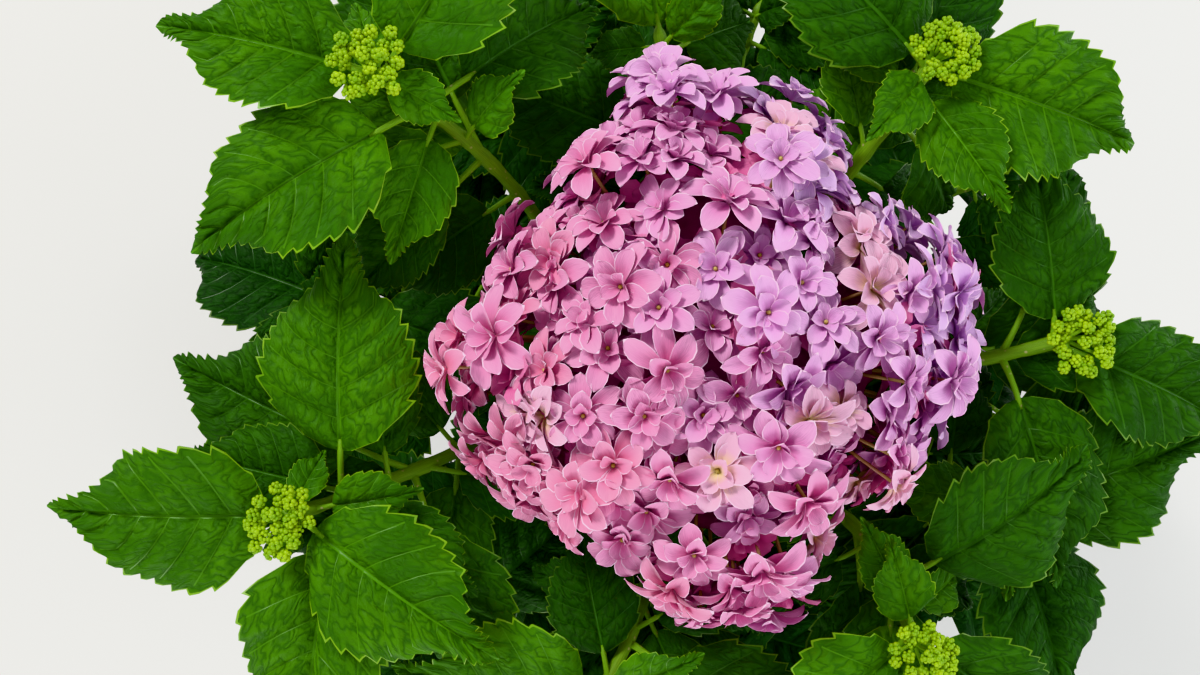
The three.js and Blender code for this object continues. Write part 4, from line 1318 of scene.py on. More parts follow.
# The head's stalk, its rays and the florets' own stalks: rows, sides, and the radius at the foot with
# what it loses on the way to the tip
STALK_ROWS = 10
FLORET_STALK_ROWS = 6
STALK_SIDES, STALK_RADIUS, STALK_TAPER = 12, 4.7, 1.2
HEAD_RAY_SIDES, HEAD_RAY_RADIUS, HEAD_RAY_TAPER = 8, 2.3, 0.9
FLORET_STALK_SIDES, FLORET_STALK_RADIUS, FLORET_STALK_TAPER = 6, 1.15, 0.25
HEAD_RAYS = 14
HEAD_RAY_TURN = 8
HEAD_RAY_REACH = 0.55
HEAD_RAY_START = 0.45
HEAD_RAY_SAG = 7
# A ray starts beside the stalk at one of three levels and ends at one of two
HEAD_RAY_BESIDE, HEAD_RAY_START_STEP = 1.5, 4
HEAD_RAY_END, HEAD_RAY_END_STEP = 2, 6
FLORET_STALK_START = 0.62
FLORET_STALK_DROP = 10
FLORET_STALK_SAG = 7
FLORET_STALK_END = 0.5
# The shares of its foot and its tip in the place that a ray or a floret's stalk bends towards
BEND_SHARES = (0.45, 0.55)


def add_head_stems(sheaf, plans):
    """The stalk forks into rays, and each ray into the thin stalks that carry the florets"""
    t = np.linspace(0, 1, STALK_ROWS)[:, None]
    stalk = HEAD_SEAT * (1 - t) + HEAD_MIDDLE * t
    tube(sheaf, stalk, STALK_RADIUS - STALK_TAPER * t[:, 0], STALK_SIDES)
    start = HEAD_SEAT * (1 - HEAD_RAY_START) + HEAD_MIDDLE * HEAD_RAY_START
    for ray in range(HEAD_RAYS):
        bearing = ray * 360 / HEAD_RAYS + HEAD_RAY_TURN
        wide = HEAD_RAY_REACH * float(head_outline(bearing % 360))
        foot = start + polar(bearing, HEAD_RAY_BESIDE, HEAD_RAY_START_STEP * (ray % 3))
        tip = HEAD_MIDDLE + polar(bearing, wide, HEAD_RAY_END + HEAD_RAY_END_STEP * (ray % 2))
        knee = foot * BEND_SHARES[0] + tip * BEND_SHARES[1] - [0, 0, HEAD_RAY_SAG]
        line, t = bowed(foot, knee, tip, STALK_ROWS)
        tube(sheaf, line, HEAD_RAY_RADIUS - HEAD_RAY_TAPER * t, HEAD_RAY_SIDES)
    low = (HEAD_MIDDLE - [0, 0, FLORET_STALK_DROP]) * (1 - FLORET_STALK_START)
    for plan in plans:
        foot = plan.core * FLORET_STALK_START + low
        knee = BEND_SHARES[0] * foot + BEND_SHARES[1] * plan.centre - plan.facing * FLORET_STALK_SAG
        tip = plan.centre - plan.facing * FLORET_STALK_END
        line, t = bowed(foot, knee, tip, FLORET_STALK_ROWS)
        tube(sheaf, line, FLORET_STALK_RADIUS - FLORET_STALK_TAPER * t, FLORET_STALK_SIDES)


CORE_SHARE = 0.7
CORE_SIDES = 64
CORE_SLANTS = (90, 82, 72, 60, 48, 36, 24, 12)
CORE_FOOT_SHARE = 0.7
CORE_FOOT_DROP = 9
CORE_WAVE = 0.05
CORE_WAVES = 7
CORE_TWIST = 9


def add_head_core(sheaf):
    """The shaded inside of the head, which closes the gaps between the inner florets"""
    bearings = 360 * np.arange(CORE_SIDES) / CORE_SIDES
    outline = head_outline(bearings)
    angle = np.radians(bearings)
    rings = []
    levels = [(CORE_FOOT_SHARE, CORE_SLANTS[0], CORE_FOOT_DROP)]
    levels += [(1.0, slant, 0) for slant in CORE_SLANTS]
    for shrink, degrees, drop in levels:
        slant = np.radians(degrees)
        out = CORE_SHARE * shrink * outline * math.sin(slant)
        out = out * (1 + CORE_WAVE * np.sin(CORE_WAVES * angle + CORE_TWIST * slant))
        level = HEAD_EDGE_HEIGHT - drop + CORE_SHARE * HEAD_DOME * math.cos(slant)
        rings.append(HEAD_CENTRE + np.stack([
            out * np.cos(angle), out * np.sin(angle), np.full(CORE_SIDES, level),
        ], -1))
    foot = HEAD_MIDDLE - [0, 0, CORE_FOOT_DROP]
    sheaf.add_shell(rings, foot, HEAD_MIDDLE + [0, 0, CORE_SHARE * HEAD_DOME])


# The pot and what fills it

POT_SIDES = 144
# The pot's floor stands up off the ground inside a foot ring, and shallow bands go round its wall
POT_FLOOR = 3.2
FOOT_RING_WIDE = 0.84
FLOOR_WIDE = 0.80
FLOOR_MIDDLE = 0.5
FLOOR_CORNER = 1.6
FOOT_CORNER = 2.2
WALL_UNDER_LIP = 2
POT_BANDS = (18, 60, 110, 160, 205)
BAND_PROFILE = ((-2.4, 0.0), (-1.0, 0.35), (1.0, 0.35), (2.4, 0.0))
# The lip: how far it is tucked into the wall, the corner at its foot, its ledge, its rolled edge and
# how it runs on down inside
LIP_TUCK = 0.2
LEDGE_CORNER = 1.4
LEDGE_PROFILE = ((0.3, 6.0), (0.9, 6.8), (1.0, 12))
LIP_ROLL = 2.4
LIP_INNER_ROLL = 2.0
LIP_INSIDE_DROP = 12
LIP_UNDER_MIX = 10
# The growing mix: its levels up the wall, the rings of its surface, the heap and the small waves on it
MIX_CLEAR = 0.3
MIX_FLOOR = POT_WALL + SEAT_GAP
MIX_LEVELS = (MIX_FLOOR, 60, 120, 180, MIX_LEVEL - 5)
MIX_EDGE_INSET = 1
MIX_EDGE_DROP = 2
MIX_RINGS = 28
MIX_RING_STEP = 4.4
HEAP_RISE, HEAP_RING, HEAP_SPREAD = 3.0, 20, 40


def pot_radius(height):
    return POT_FOOT_RADIUS + (POT_RIM_RADIUS - POT_FOOT_RADIUS) * height / POT_HEIGHT


def turned(sheaf, outline, closed_foot=False, closed_top=False):
    """A shape turned about the pot's axis from an outline that goes up its outside, so it faces out"""
    angle = 2 * np.pi * np.arange(POT_SIDES) / POT_SIDES
    ring = np.stack([np.cos(angle), np.sin(angle)], -1)
    rings = [np.column_stack([ring * r, np.full(POT_SIDES, z)]) for r, z in outline]
    foot = [0, 0, outline[0][1]] if closed_foot else None
    top = [0, 0, outline[-1][1]] if closed_top else None
    sheaf.add_shell(rings, foot, top)


def arc(centre, radius, first, last, steps):
    """Points of an outline round a corner, by angle in degrees"""
    x, y = centre
    angles = [math.radians(degrees) for degrees in np.linspace(first, last, steps)]
    return [(x + radius * math.cos(angle), y + radius * math.sin(angle)) for angle in angles]


def make_pot_wall(materials):
    """The pot's blue body: a foot with a recessed floor, a low step, and a wall with shallow bands"""
    sheaf = Sheaf()
    top = POT_HEIGHT - POT_LIP_HEIGHT + WALL_UNDER_LIP
    outline = [(FLOOR_MIDDLE, POT_FLOOR), (FLOOR_WIDE * POT_FOOT_RADIUS, POT_FLOOR)]
    outline += arc((FOOT_RING_WIDE * POT_FOOT_RADIUS, FLOOR_CORNER), FLOOR_CORNER, 180, 270, 4)
    outline += arc((pot_radius(0) - FOOT_CORNER, FOOT_CORNER), FOOT_CORNER, 270, 360, 6)
    for band in POT_BANDS:
        for rise, proud in BAND_PROFILE:
            outline.append((pot_radius(band + rise) + proud, band + rise))
    outline.append((pot_radius(top), top))
    turned(sheaf, outline, closed_foot=True)
    return sheaf.make("pot_wall", materials)


def make_pot_lip(materials):
    """The black lip with its rolled edge and ledge, and the black inside of the wall below it"""
    sheaf = Sheaf()
    foot = POT_HEIGHT - POT_LIP_HEIGHT
    outer = POT_RIM_RADIUS + POT_LIP_PROUD
    inner = POT_RIM_RADIUS - POT_WALL
    ledge = pot_radius(foot) + POT_LIP_PROUD
    outline = [(pot_radius(foot) - LIP_TUCK, foot)]
    outline += arc((ledge - LEDGE_CORNER, foot + LEDGE_CORNER), LEDGE_CORNER, 270, 360, 5)
    outline += [(ledge + proud, foot + rise) for proud, rise in LEDGE_PROFILE]
    outline += arc((outer - LIP_ROLL, POT_HEIGHT - LIP_ROLL), LIP_ROLL, 0, 90, 7)
    outline += arc((inner + LIP_INNER_ROLL, POT_HEIGHT - LIP_INNER_ROLL), LIP_INNER_ROLL, 90, 180, 6)
    for level in (POT_HEIGHT - LIP_INSIDE_DROP, MIX_LEVEL - LIP_UNDER_MIX):
        outline.append((pot_radius(level) - POT_WALL, level))
    turned(sheaf, outline)
    return sheaf.make("pot_lip", materials)


def mix_relief(x, y):
    """How far the surface of the mix stands up: a low heap round the canes, and small waves"""
    heap = HEAP_RISE * np.exp(-((np.hypot(x, y) - HEAP_RING) / HEAP_SPREAD) ** 2)
    rough = 1.2 * np.sin(0.21 * x + 1) * np.sin(0.17 * y) + 0.9 * np.sin(0.43 * x + 0.31 * y)
    rough += 0.6 * np.sin(0.83 * x - 0.7 * y) + 0.4 * np.sin(1.3 * y + 0.9 * x)
    return heap + rough


def make_growing_mix(materials):
    """The growing mix: a turned body whose top is uneven and heaped a little round the canes"""
    sheaf = Sheaf()
    clear = POT_WALL + SEAT_GAP + MIX_CLEAR
    edge = pot_radius(MIX_LEVEL) - clear - MIX_EDGE_INSET
    outline = [(pot_radius(z) - clear, z) for z in MIX_LEVELS]
    outline += [(edge, MIX_LEVEL - MIX_EDGE_DROP)]
    outline += [(edge - k * MIX_RING_STEP, MIX_LEVEL) for k in range(1, MIX_RINGS + 1)]
    turned(sheaf, outline, closed_foot=True, closed_top=True)
    for points in sheaf.points:
        top = points[:, 2] > MIX_LEVEL - 0.5 * MIX_EDGE_DROP
        points[top, 2] += mix_relief(points[top, 0], points[top, 1])
    return sheaf.make("growing_mix_surface", materials)


# A flake's corners: where they lie round it, how far out, and how high its upper ones stand
CHIP_TURNS = (0, 50, 125, 180, 232, 305)
CHIP_REACH = (1.0, 0.82, 0.9, 1.06, 0.78, 0.9)
CHIP_TOPS = (1.0, 0.6, 0.9, 1.2, 0.8, 1.1)
CHIP_UNDERCUT = 0.92
# Each kind of flake: length, width, thickness and how far its top leans over
CHIPS = (
    ("chip_long", 8.5, 3.2, 1.0, 0.8),
    ("chip_broad", 6.0, 4.4, 0.8, -0.6),
    ("chip_crumb", 3.6, 2.9, 1.2, 0.4),
)


def chip_form(name, length, width, thick, skew):
    """One flake of bark: a rough six-sided slab"""
    angle = np.radians(CHIP_TURNS)
    reach = np.array(CHIP_REACH)
    rim = np.stack([reach * np.cos(angle) * length, reach * np.sin(angle) * width], -1)
    low = np.column_stack([rim * CHIP_UNDERCUT, np.full(len(rim), -thick)])
    high = np.column_stack([rim + [skew, 0], thick * np.array(CHIP_TOPS)])
    sheaf = Sheaf()
    sheaf.add_shell([low, high], [0, 0, -thick], [skew, 0, thick])
    return sheaf.make(name, [])


# What the chips are scattered by, and the low cone that they are scattered on
CHIP_VALUES = {
    "Chips per square metre": 26000.0,
    "Smallest chip": 0.45,
    "Largest chip": 1.25,
    "Tilt": 0.5,
    "Seed": 11,
}
BED_INSET = 11
BED_RINGS = 10
BED_RISE = 1.0
BED_PEAK = 2.2


def chip_tree(forms, material):
    """Scatters flakes over a surface, each turned and sized at random"""
    tree, given = new_tree("bark_chips", CHIP_VALUES)
    tilt = given["Tilt"]
    seed = given["Seed"]
    scatter = add_node(tree, "GeometryNodeDistributePointsOnFaces", {
        "Mesh": given["Geometry"],
        "Density": given["Chips per square metre"],
        "Seed": seed,
    })
    gather = add_node(tree, "GeometryNodeGeometryToInstance", {})
    for form in forms:
        flake = add_node(tree, "GeometryNodeObjectInfo", {"Object": form})
        fill_inputs(tree, gather, {"Geometry": flake.outputs["Geometry"]})
    back = add_node(tree, "ShaderNodeMath", {0: tilt, 1: -1.0}, operation="MULTIPLY").outputs["Value"]
    low = add_node(tree, "ShaderNodeCombineXYZ", {"X": back, "Y": back})
    high = add_node(tree, "ShaderNodeCombineXYZ", {"X": tilt, "Y": tilt, "Z": 2 * math.pi})
    turn = add_node(tree, "FunctionNodeRandomValue", {
        0: low.outputs["Vector"],
        1: high.outputs["Vector"],
        "Seed": seed,
    }, data_type="FLOAT_VECTOR")
    extent = add_node(tree, "FunctionNodeRandomValue", {
        2: given["Smallest chip"],
        3: given["Largest chip"],
        "Seed": seed,
    }, data_type="FLOAT")
    place = add_node(tree, "GeometryNodeInstanceOnPoints", {
        "Points": scatter.outputs["Points"],
        "Pick Instance": True,
        "Instance": gather.outputs["Instances"],
        "Rotation": turn.outputs[0],
        "Scale": extent.outputs[1],
    })
    finish_tree(tree, place.outputs["Instances"], material)
    return tree


def make_chips(material):
    """Bark chips that lie on the growing mix inside the pot's lip"""
    bed = Sheaf()
    edge = pot_radius(MIX_LEVEL) - POT_WALL - BED_INSET
    outline = [
        (edge * k / BED_RINGS, MIX_LEVEL + BED_RISE + BED_PEAK * (1 - k / BED_RINGS))
        for k in range(BED_RINGS, 0, -1)
    ]
    turned(bed, outline, closed_top=True)
    carrier = bed.make("chip_bed", [])
    forms = [chip_form(*chip) for chip in CHIPS]
    piece = grown_piece("bark_chips", carrier, chip_tree(forms, material), CHIP_VALUES)
    for form in forms:
        bpy.data.objects.remove(form)
    return piece


# Finishes


def tone(red, green, blue):
    """A colour from its eight-bit screen values"""
    def straight(value):
        share = value / 255
        return share / 12.92 if share <= 0.04045 else ((share + 0.055) / 1.055) ** 2.4
    return (straight(red), straight(green), straight(blue), 1.0)


def changed(colour, changes):
    """A colour with its red, green and blue each multiplied by a gain and lifted"""
    return tuple(gain * part + lift for part, (gain, lift) in zip(colour, changes)) + (1.0,)


def shade(colour, gain, lift=0.0):
    return changed(colour, [(gain, lift)] * 3)


def blend(one, other, share):
    return tuple((1 - share) * a + share * b for a, b in zip(one, other))


# Each tone of leaf: its name, its slot, and its light and dark green. The deeper tones are partly
# the older leaves' own green and partly painted shade for leaves low down and inside the bush
LEAF_TONES = (
    ("blue_green", "leaf_deep", tone(30, 74, 17), tone(18, 54, 10)),
    ("deep_green", "leaf_deep", tone(31, 80, 9), tone(19, 59, 5)),
    ("mid_green", "leaf_bright", tone(33, 82, 4), tone(21, 62, 3)),
    ("bright_green", "leaf_bright", tone(44, 96, 3), tone(29, 74, 3)),
    ("lime_green", "leaf_bright", tone(68, 124, 4), tone(45, 98, 3)),
)
# How dark the painted shade in the creases between a leaf's cushions is
CREASE_SHADE = 0.86
# How a leaf's ribs, in their light and dark tone, and its margin differ from its light green, and
# where its side veins lie between that green and the dark rib
RIB_LIGHT = ((1.3, 0.008), (1.3, 0.008), (1.0, 0.006))
RIB_DARK = ((1.08, 0.004), (1.08, 0.004), (1.0, 0.004))
MARGIN_TONE = ((3.0, 0.08), (1.7, 0.08), (0.0, 0.02))
VEIN_SHARE = 0.5
# Each tone of petal: its name, its own colour and the colour at its base
PETAL_COLOURS = (
    ("warm_pink", tone(236, 144, 184), tone(236, 138, 170)),
    ("rose_pink", tone(234, 148, 195), tone(232, 140, 182)),
    ("mauve_pink", tone(232, 157, 207), tone(228, 146, 194)),
    ("lilac_pink", tone(229, 168, 220), tone(222, 156, 210)),
    ("lavender", tone(224, 178, 230), tone(214, 162, 220)),
    ("young_cream", tone(240, 184, 212), tone(246, 240, 150)),
)
# The inner florets' petals: deeper magenta as painted shade for the florets deep in the head
SHADED_PETAL = ("shaded", tone(226, 112, 168), tone(176, 54, 116))
PETAL_RIM_TONE = tone(250, 218, 238)
PETAL_PALING = 0.4
PETAL_STREAK = 0.76
PETAL_SHEEN = 0.25
PETAL_SHEEN_ROUGHNESS = 0.4
# Plain soft things: light and dark tone, how fine the mottling is, roughness and relief
SOFT_THINGS = {
    "bud_green": (tone(158, 190, 22), tone(108, 156, 12), 160.0, 0.5, 0.0003),
    "bud_ray_green": (tone(140, 188, 40), tone(104, 156, 24), 90.0, 0.5, 0.0003),
    "petal_rim": (PETAL_RIM_TONE, tone(244, 204, 230), 50.0, 0.5, 0.0003),
    "heart_green": (tone(206, 194, 112), tone(172, 156, 84), 300.0, 0.5, 0.0003),
    "head_stem_green": (tone(168, 150, 96), tone(150, 108, 90), 60.0, 0.55, 0.0003),
    # The head's inside: a sheet coloured as painted shade between the florets
    "head_shade": (tone(168, 58, 112), tone(118, 46, 72), 60.0, 0.8, 0.001),
    "mix_brown": (tone(92, 60, 38), tone(46, 30, 22), 120.0, 0.95, 0.002),
}
# Young wood: light and dark tone
GREEN_WOODS = {
    "petiole_green": (tone(128, 176, 42), tone(92, 144, 24)),
    "bough_wood": (tone(118, 156, 54), tone(84, 122, 34)),
    "twig_wood": (tone(122, 164, 44), tone(86, 130, 28)),
}
WOOD_SPECK = tone(176, 178, 120)
# Moulded plastic: light and dark tone, roughness and gloss
PLASTICS = {
    "pot_blue": (tone(17, 68, 128), tone(13, 58, 114), 0.4, 0.15),
    "pot_black": (tone(22, 22, 25), tone(13, 13, 15), 0.28, 0.4),
}
DUST_GAIN, DUST_LIFT = 0.8, 0.035
BARK_TAN, BARK_PALE = tone(104, 78, 52), tone(176, 148, 106)
BARK_GREY, BARK_CRACK = tone(138, 128, 108), tone(58, 42, 30)
CHIP_DARK, CHIP_ORANGE, CHIP_GRAIN = tone(78, 46, 26), tone(176, 112, 62), tone(58, 36, 24)
FLOOR_DARK, FLOOR_LIGHT = tone(214, 213, 209), tone(222, 221, 217)
COAT_ROUGHNESS = 0.2


class Finish:
    """A material with one shader, and the nodes that vary its colour and relief"""

    def __init__(self, name, roughness, specular=0.5, coat=0.0):
        self.material = bpy.data.materials.new(name)
        self.material.use_nodes = True
        self.tree = self.material.node_tree
        self.where = self.tree.nodes.new("ShaderNodeTexCoord").outputs
        self.set_shader({
            "Roughness": roughness,
            "Specular IOR Level": specular,
            "Coat Weight": coat,
            "Coat Roughness": COAT_ROUGHNESS,
        })

    def set_shader(self, inputs):
        fill_inputs(self.tree, self.tree.nodes["Principled BSDF"], inputs)

    def made(self, output, kind, inputs, **settings):
        """An output of a new node"""
        return add_node(self.tree, kind, inputs, **settings).outputs[output]

    def noise(self, scale, detail=3.0, source="Object", stretch=(1, 1, 1), distortion=0.0):
        inputs = {"Vector": self.where[source], "Scale": stretch}
        return self.made(0, "ShaderNodeTexNoise", {
            "Vector": self.made("Vector", "ShaderNodeMapping", inputs),
            "Scale": scale,
            "Detail": detail,
            "Distortion": distortion,
        })

    def scattered(self, output, scale):
        """What scattered points give each place: how far the nearest one lies, or its own colour"""
        inputs = {"Vector": self.where["Object"], "Scale": scale}
        return self.made(output, "ShaderNodeTexVoronoi", inputs)

    def cushions(self, scale, stretch):
        """Soft cushions that rise from 0 in the creases between them, on the piece's own UV map"""
        noise = self.noise(scale, detail=1.5, source="UV", stretch=stretch, distortion=0.5)
        level = self.made(0, "ShaderNodeMath", {0: noise, 1: 0.5}, operation="SUBTRACT")
        return self.made(0, "ShaderNodeMath", {0: level}, operation="ABSOLUTE")

    def ramp(self, value, low, high):
        inputs = {"Value": value, "From Min": low, "From Max": high}
        return self.made("Result", "ShaderNodeMapRange", inputs)

    def mixed(self, share, one, other):
        """One colour or socket mixed to another by a share"""
        return self.made(2, "ShaderNodeMix", {0: share, 6: one, 7: other}, data_type="RGBA")

    def colour(self, value):
        self.set_shader({"Base Color": value})

    def relief(self, value, distance, strength, under=None):
        """Adds relief to the shader, over the relief that lies under it"""
        inputs = {"Height": value, "Distance": distance, "Strength": strength}
        if under is not None:
            inputs["Normal"] = under
        normal = self.made("Normal", "ShaderNodeBump", inputs)
        self.set_shader({"Normal": normal})
        return normal


def leaf_blade_finish(name, light, dark):
    """Leaf green, mottled softly, with cushions that run across between its sunken side veins,
    and with painted shade darkening the creases between the cushions
    """
    finish = Finish(name, roughness=0.6, specular=0.22)
    mottle = finish.ramp(finish.noise(24.0), 0.34, 0.66)
    body = finish.mixed(mottle, dark, light)
    cushion = finish.cushions(11.0, (1.25, 1.55, 1.0))
    # Painted shade: the blade is darkened where its cushions sink into creases
    crease = shade(dark, CREASE_SHADE)
    finish.colour(finish.mixed(finish.ramp(cushion, 0.0, 0.09), crease, body))
    first = finish.relief(finish.ramp(cushion, 0.0, 0.24), 0.0019, 0.6)
    fine = finish.ramp(finish.cushions(30.0, (1.0, 1.5, 1.0)), 0.0, 0.2)
    finish.relief(fine, 0.0006, 0.4, first)
    return finish.material


def leaf_rib_finish(name, light, dark):
    finish = Finish(name, roughness=0.45, specular=0.4)
    finish.colour(finish.mixed(finish.noise(60.0), dark, light))
    finish.relief(finish.noise(500.0), 0.0002, 0.3)
    return finish.material


def leaf_materials(name, light, dark):
    """The finishes of a leaf, in the order of BLADE, RIB, EDGE and VEIN"""
    rib_light = changed(light, RIB_LIGHT)
    rib_dark = changed(light, RIB_DARK)
    return [
        leaf_blade_finish(f"leaf_{name}", light, dark),
        leaf_rib_finish(f"rib_{name}", rib_light, rib_dark),
        leaf_rib_finish(f"edge_{name}", changed(light, MARGIN_TONE), rib_light),
        leaf_rib_finish(f"vein_{name}", blend(light, rib_dark, VEIN_SHARE), light),
    ]


def petal_finish(name, light, base):
    """A petal with its own tone at its base, paler at its tip, finely veined and with a soft sheen"""
    finish = Finish(f"petal_{name}", roughness=0.5, specular=0.35)
    finish.set_shader({"Sheen Weight": PETAL_SHEEN, "Sheen Roughness": PETAL_SHEEN_ROUGHNESS})
    along = finish.made("X", "ShaderNodeSeparateXYZ", {"Vector": finish.where["UV"]})
    lower = finish.mixed(finish.ramp(along, 0.0, 0.6), base, light)
    pale = blend(light, PETAL_RIM_TONE, PETAL_PALING)
    body = finish.mixed(finish.ramp(along, 0.5, 1.4), lower, pale)
    veins = finish.noise(5.0, detail=2.0, source="UV", stretch=(0.7, 7.0, 1.0), distortion=0.6)
    streaked = finish.mixed(finish.ramp(veins, 0.42, 0.62), shade(light, PETAL_STREAK), body)
    finish.colour(finish.mixed(finish.ramp(finish.noise(30.0), 0.3, 0.7), body, streaked))
    finish.relief(veins, 0.0004, 0.4)
    return finish.material


def soft_finish(name):
    """A plain soft thing, mottled and finely uneven"""
    light, dark, scale, roughness, bump = SOFT_THINGS[name]
    finish = Finish(name, roughness)
    finish.colour(finish.mixed(finish.ramp(finish.noise(scale), 0.3, 0.7), dark, light))
    finish.relief(finish.noise(scale * 8), bump, 0.4)
    return finish.material


def bark_finish():
    """Tan bark with dark lengthwise cracks and grey weathered strips"""
    finish = Finish("cane_bark", roughness=0.85, specular=0.25)
    strips = finish.noise(14.0, detail=5.0, source="UV", stretch=(1.2, 9.0, 1.0), distortion=0.5)
    body = finish.mixed(finish.ramp(strips, 0.35, 0.62), BARK_TAN, BARK_PALE)
    weather = finish.ramp(finish.noise(50.0, detail=4.0), 0.45, 0.7)
    aged = finish.mixed(weather, body, BARK_GREY)
    finish.colour(finish.mixed(finish.ramp(strips, 0.28, 0.36), BARK_CRACK, aged))
    first = finish.relief(strips, 0.0012, 0.8)
    finish.relief(finish.noise(700.0), 0.0003, 0.5, first)
    return finish.material


def green_wood_finish(name):
    """Young green wood with long faint streaks and small pale specks"""
    light, dark = GREEN_WOODS[name]
    finish = Finish(name, roughness=0.5, specular=0.4)
    streak = finish.noise(10.0, source="UV", stretch=(0.8, 8.0, 1.0))
    body = finish.mixed(finish.ramp(streak, 0.35, 0.65), dark, light)
    specks = finish.ramp(finish.scattered("Distance", 190.0), 0.1, 0.2)
    finish.colour(finish.mixed(specks, WOOD_SPECK, body))
    finish.relief(streak, 0.0004, 0.5)
    return finish.material


def plastic_finish(name):
    """Moulded plastic with faint flow marks, fine scuffs and a light film of dust"""
    light, dark, roughness, coat = PLASTICS[name]
    finish = Finish(name, roughness, coat=coat)
    cloud = finish.ramp(finish.noise(7.0, detail=4.0, stretch=(1, 1, 2.4)), 0.3, 0.7)
    body = finish.mixed(cloud, dark, light)
    dust = finish.ramp(finish.noise(38.0, detail=6.0), 0.5, 0.95)
    finish.colour(finish.mixed(dust, body, shade(light, DUST_GAIN, DUST_LIFT)))
    first = finish.relief(finish.noise(420.0, detail=2.0), 0.0002, 0.3)
    finish.relief(finish.noise(30.0, detail=2.0, stretch=(1, 1, 9)), 0.0002, 0.1, first)
    return finish.material


def chip_finish():
    """Bark chips: each flake its own brown, from dark to orange, with grain"""
    finish = Finish("bark_chip", roughness=0.9, specular=0.2)
    flake = finish.made("Red", "ShaderNodeSeparateColor", {"Color": finish.scattered("Color", 95.0)})
    body = finish.mixed(flake, CHIP_DARK, CHIP_ORANGE)
    grain = finish.ramp(finish.noise(210.0, detail=5.0, stretch=(1, 4, 1)), 0.35, 0.65)
    finish.colour(finish.mixed(grain, CHIP_GRAIN, body))
    finish.relief(finish.noise(300.0, detail=5.0), 0.0009, 0.7)
    return finish.material


def floor_finish():
    finish = Finish("pale_floor", roughness=0.8, specular=0.2)
    finish.colour(finish.mixed(finish.noise(2.0), FLOOR_DARK, FLOOR_LIGHT))
    return finish.material


# Putting the plant together

# The heights at which leaves are brightest and darkest (lower leaves are darker partly as painted
# shade), how far towards its tip a leaf's height is taken, and how much brighter a small leaf is
LEAF_BRIGHTEST = 466.0
LEAF_DARKEST = 246.0
TIP_SHARE = 0.3
SMALL_LEAF_LIGHT = 0.12


def leaf_tone(leaf):
    """Lime at the top and at the tips, deep and bluish low down and inside, with a draw for each; the
    darkening lower down is partly painted shade and partly the older leaves' own green
    """
    height = leaf.middle[2] + TIP_SHARE * leaf.length * leaf.along[2]
    light = (height - LEAF_DARKEST) / (LEAF_BRIGHTEST - LEAF_DARKEST)
    light += drawn(leaf.shoot.number, leaf.key, *LEAF_DRAWS.tone)
    light += SMALL_LEAF_LIGHT if leaf.length < SMALL_LEAF else 0.0
    return int(min(len(LEAF_TONES) - 1, max(0, math.floor(light * len(LEAF_TONES)))))


def make_foliage(leaves):
    """The leaves in their tones and their petioles, each piece with its slot"""
    pieces = []
    for number, (name, slot_name, light, dark) in enumerate(LEAF_TONES):
        sheaf = Sheaf()
        for leaf in leaves:
            if leaf_tone(leaf) == number:
                add_blade(sheaf, leaf)
        pieces.append((sheaf.make(f"leaves_{name}", leaf_materials(name, light, dark)), slot_name))
    stalks = Sheaf()
    for leaf in leaves:
        add_petiole(stalks, leaf)
    pieces.append((stalks.make("petioles", [green_wood_finish("petiole_green")]), "green_wood"))
    return pieces


def make_stems(canes, boughs, shoots):
    """The canes, the boughs, and the twigs with their leaf buds"""
    bark = Sheaf()
    for number, cane in enumerate(canes):
        add_cane(bark, cane, number)
    wood = Sheaf()
    for number, bough in enumerate(boughs):
        add_stem(wood, bough, BOUGH_NODES, number)
    young = Sheaf()
    for shoot in shoots:
        nodes = [stage.place for stage in (*shoot.tiers, *SIDE_TIERS)]
        add_stem(young, shoot.twig, nodes, shoot.number)
        if shoot.number != FLOWERING_SHOOT and not shoot.budded:
            add_tip_bud(young, shoot.twig)
    return (
        bark.make("canes", [bark_finish()]),
        wood.make("boughs", [green_wood_finish("bough_wood")]),
        young.make("twigs", [green_wood_finish("twig_wood")]),
    )


def make_buds(shoots):
    """The flower buds over the tips of the budded shoots, and the rays that carry them"""
    rays = Sheaf()
    beads = []
    for shoot in shoots:
        if shoot.budded:
            add_bud_rays(rays, shoot.twig, shoot.number)
            for place, key in bud_groups(shoot.twig, shoot.number):
                for sprig, sprig_key in bud_sprigs(place, key):
                    beads += bead_places(sprig, sprig_key)
    carrier = point_carrier("bead_points", *zip(*beads))
    return (
        grown_piece("bud_beads", carrier, bead_tree(soft_finish("bud_green")), BEAD_VALUES),
        rays.make("bud_rays", [soft_finish("bud_ray_green")]),
    )


def make_flower_head():
    """The florets, the smaller ones under them, their hearts, their stalks and the shaded inside"""
    plans = [floret_plan(i, FLORET_COUNT, 0.0) for i in range(FLORET_COUNT)]
    blossom = Sheaf()
    for plan in plans:
        add_floret(blossom, plan, WHORLS, PETAL_ROWS, PETAL_COLUMNS, petal_tone(plan), PETAL_RIM)
    shaded = Sheaf()
    for i in range(INNER_COUNT):
        plan = floret_plan(i, INNER_COUNT, INNER_DEPTH)
        add_floret(shaded, plan, INNER_WHORLS, INNER_ROWS, INNER_COLUMNS, 0)
    stems = Sheaf()
    add_head_stems(stems, plans)
    core = Sheaf()
    add_head_core(core)
    petals = [petal_finish(*colours) for colours in PETAL_COLOURS] + [soft_finish("petal_rim")]
    heart_places = [plan.centre + plan.facing * HEART_RISE for plan in plans]
    hearts = point_carrier("heart_points", heart_places, [HEART_RADIUS] * len(plans))
    return (
        blossom.make("florets", petals),
        shaded.make("inner_florets", [petal_finish(*SHADED_PETAL)]),
        grown_piece("floret_hearts", hearts, bead_tree(soft_finish("heart_green")), BEAD_VALUES),
        stems.make("head_stems", [soft_finish("head_stem_green")]),
        core.make("head_inside", [soft_finish("head_shade")]),
    )


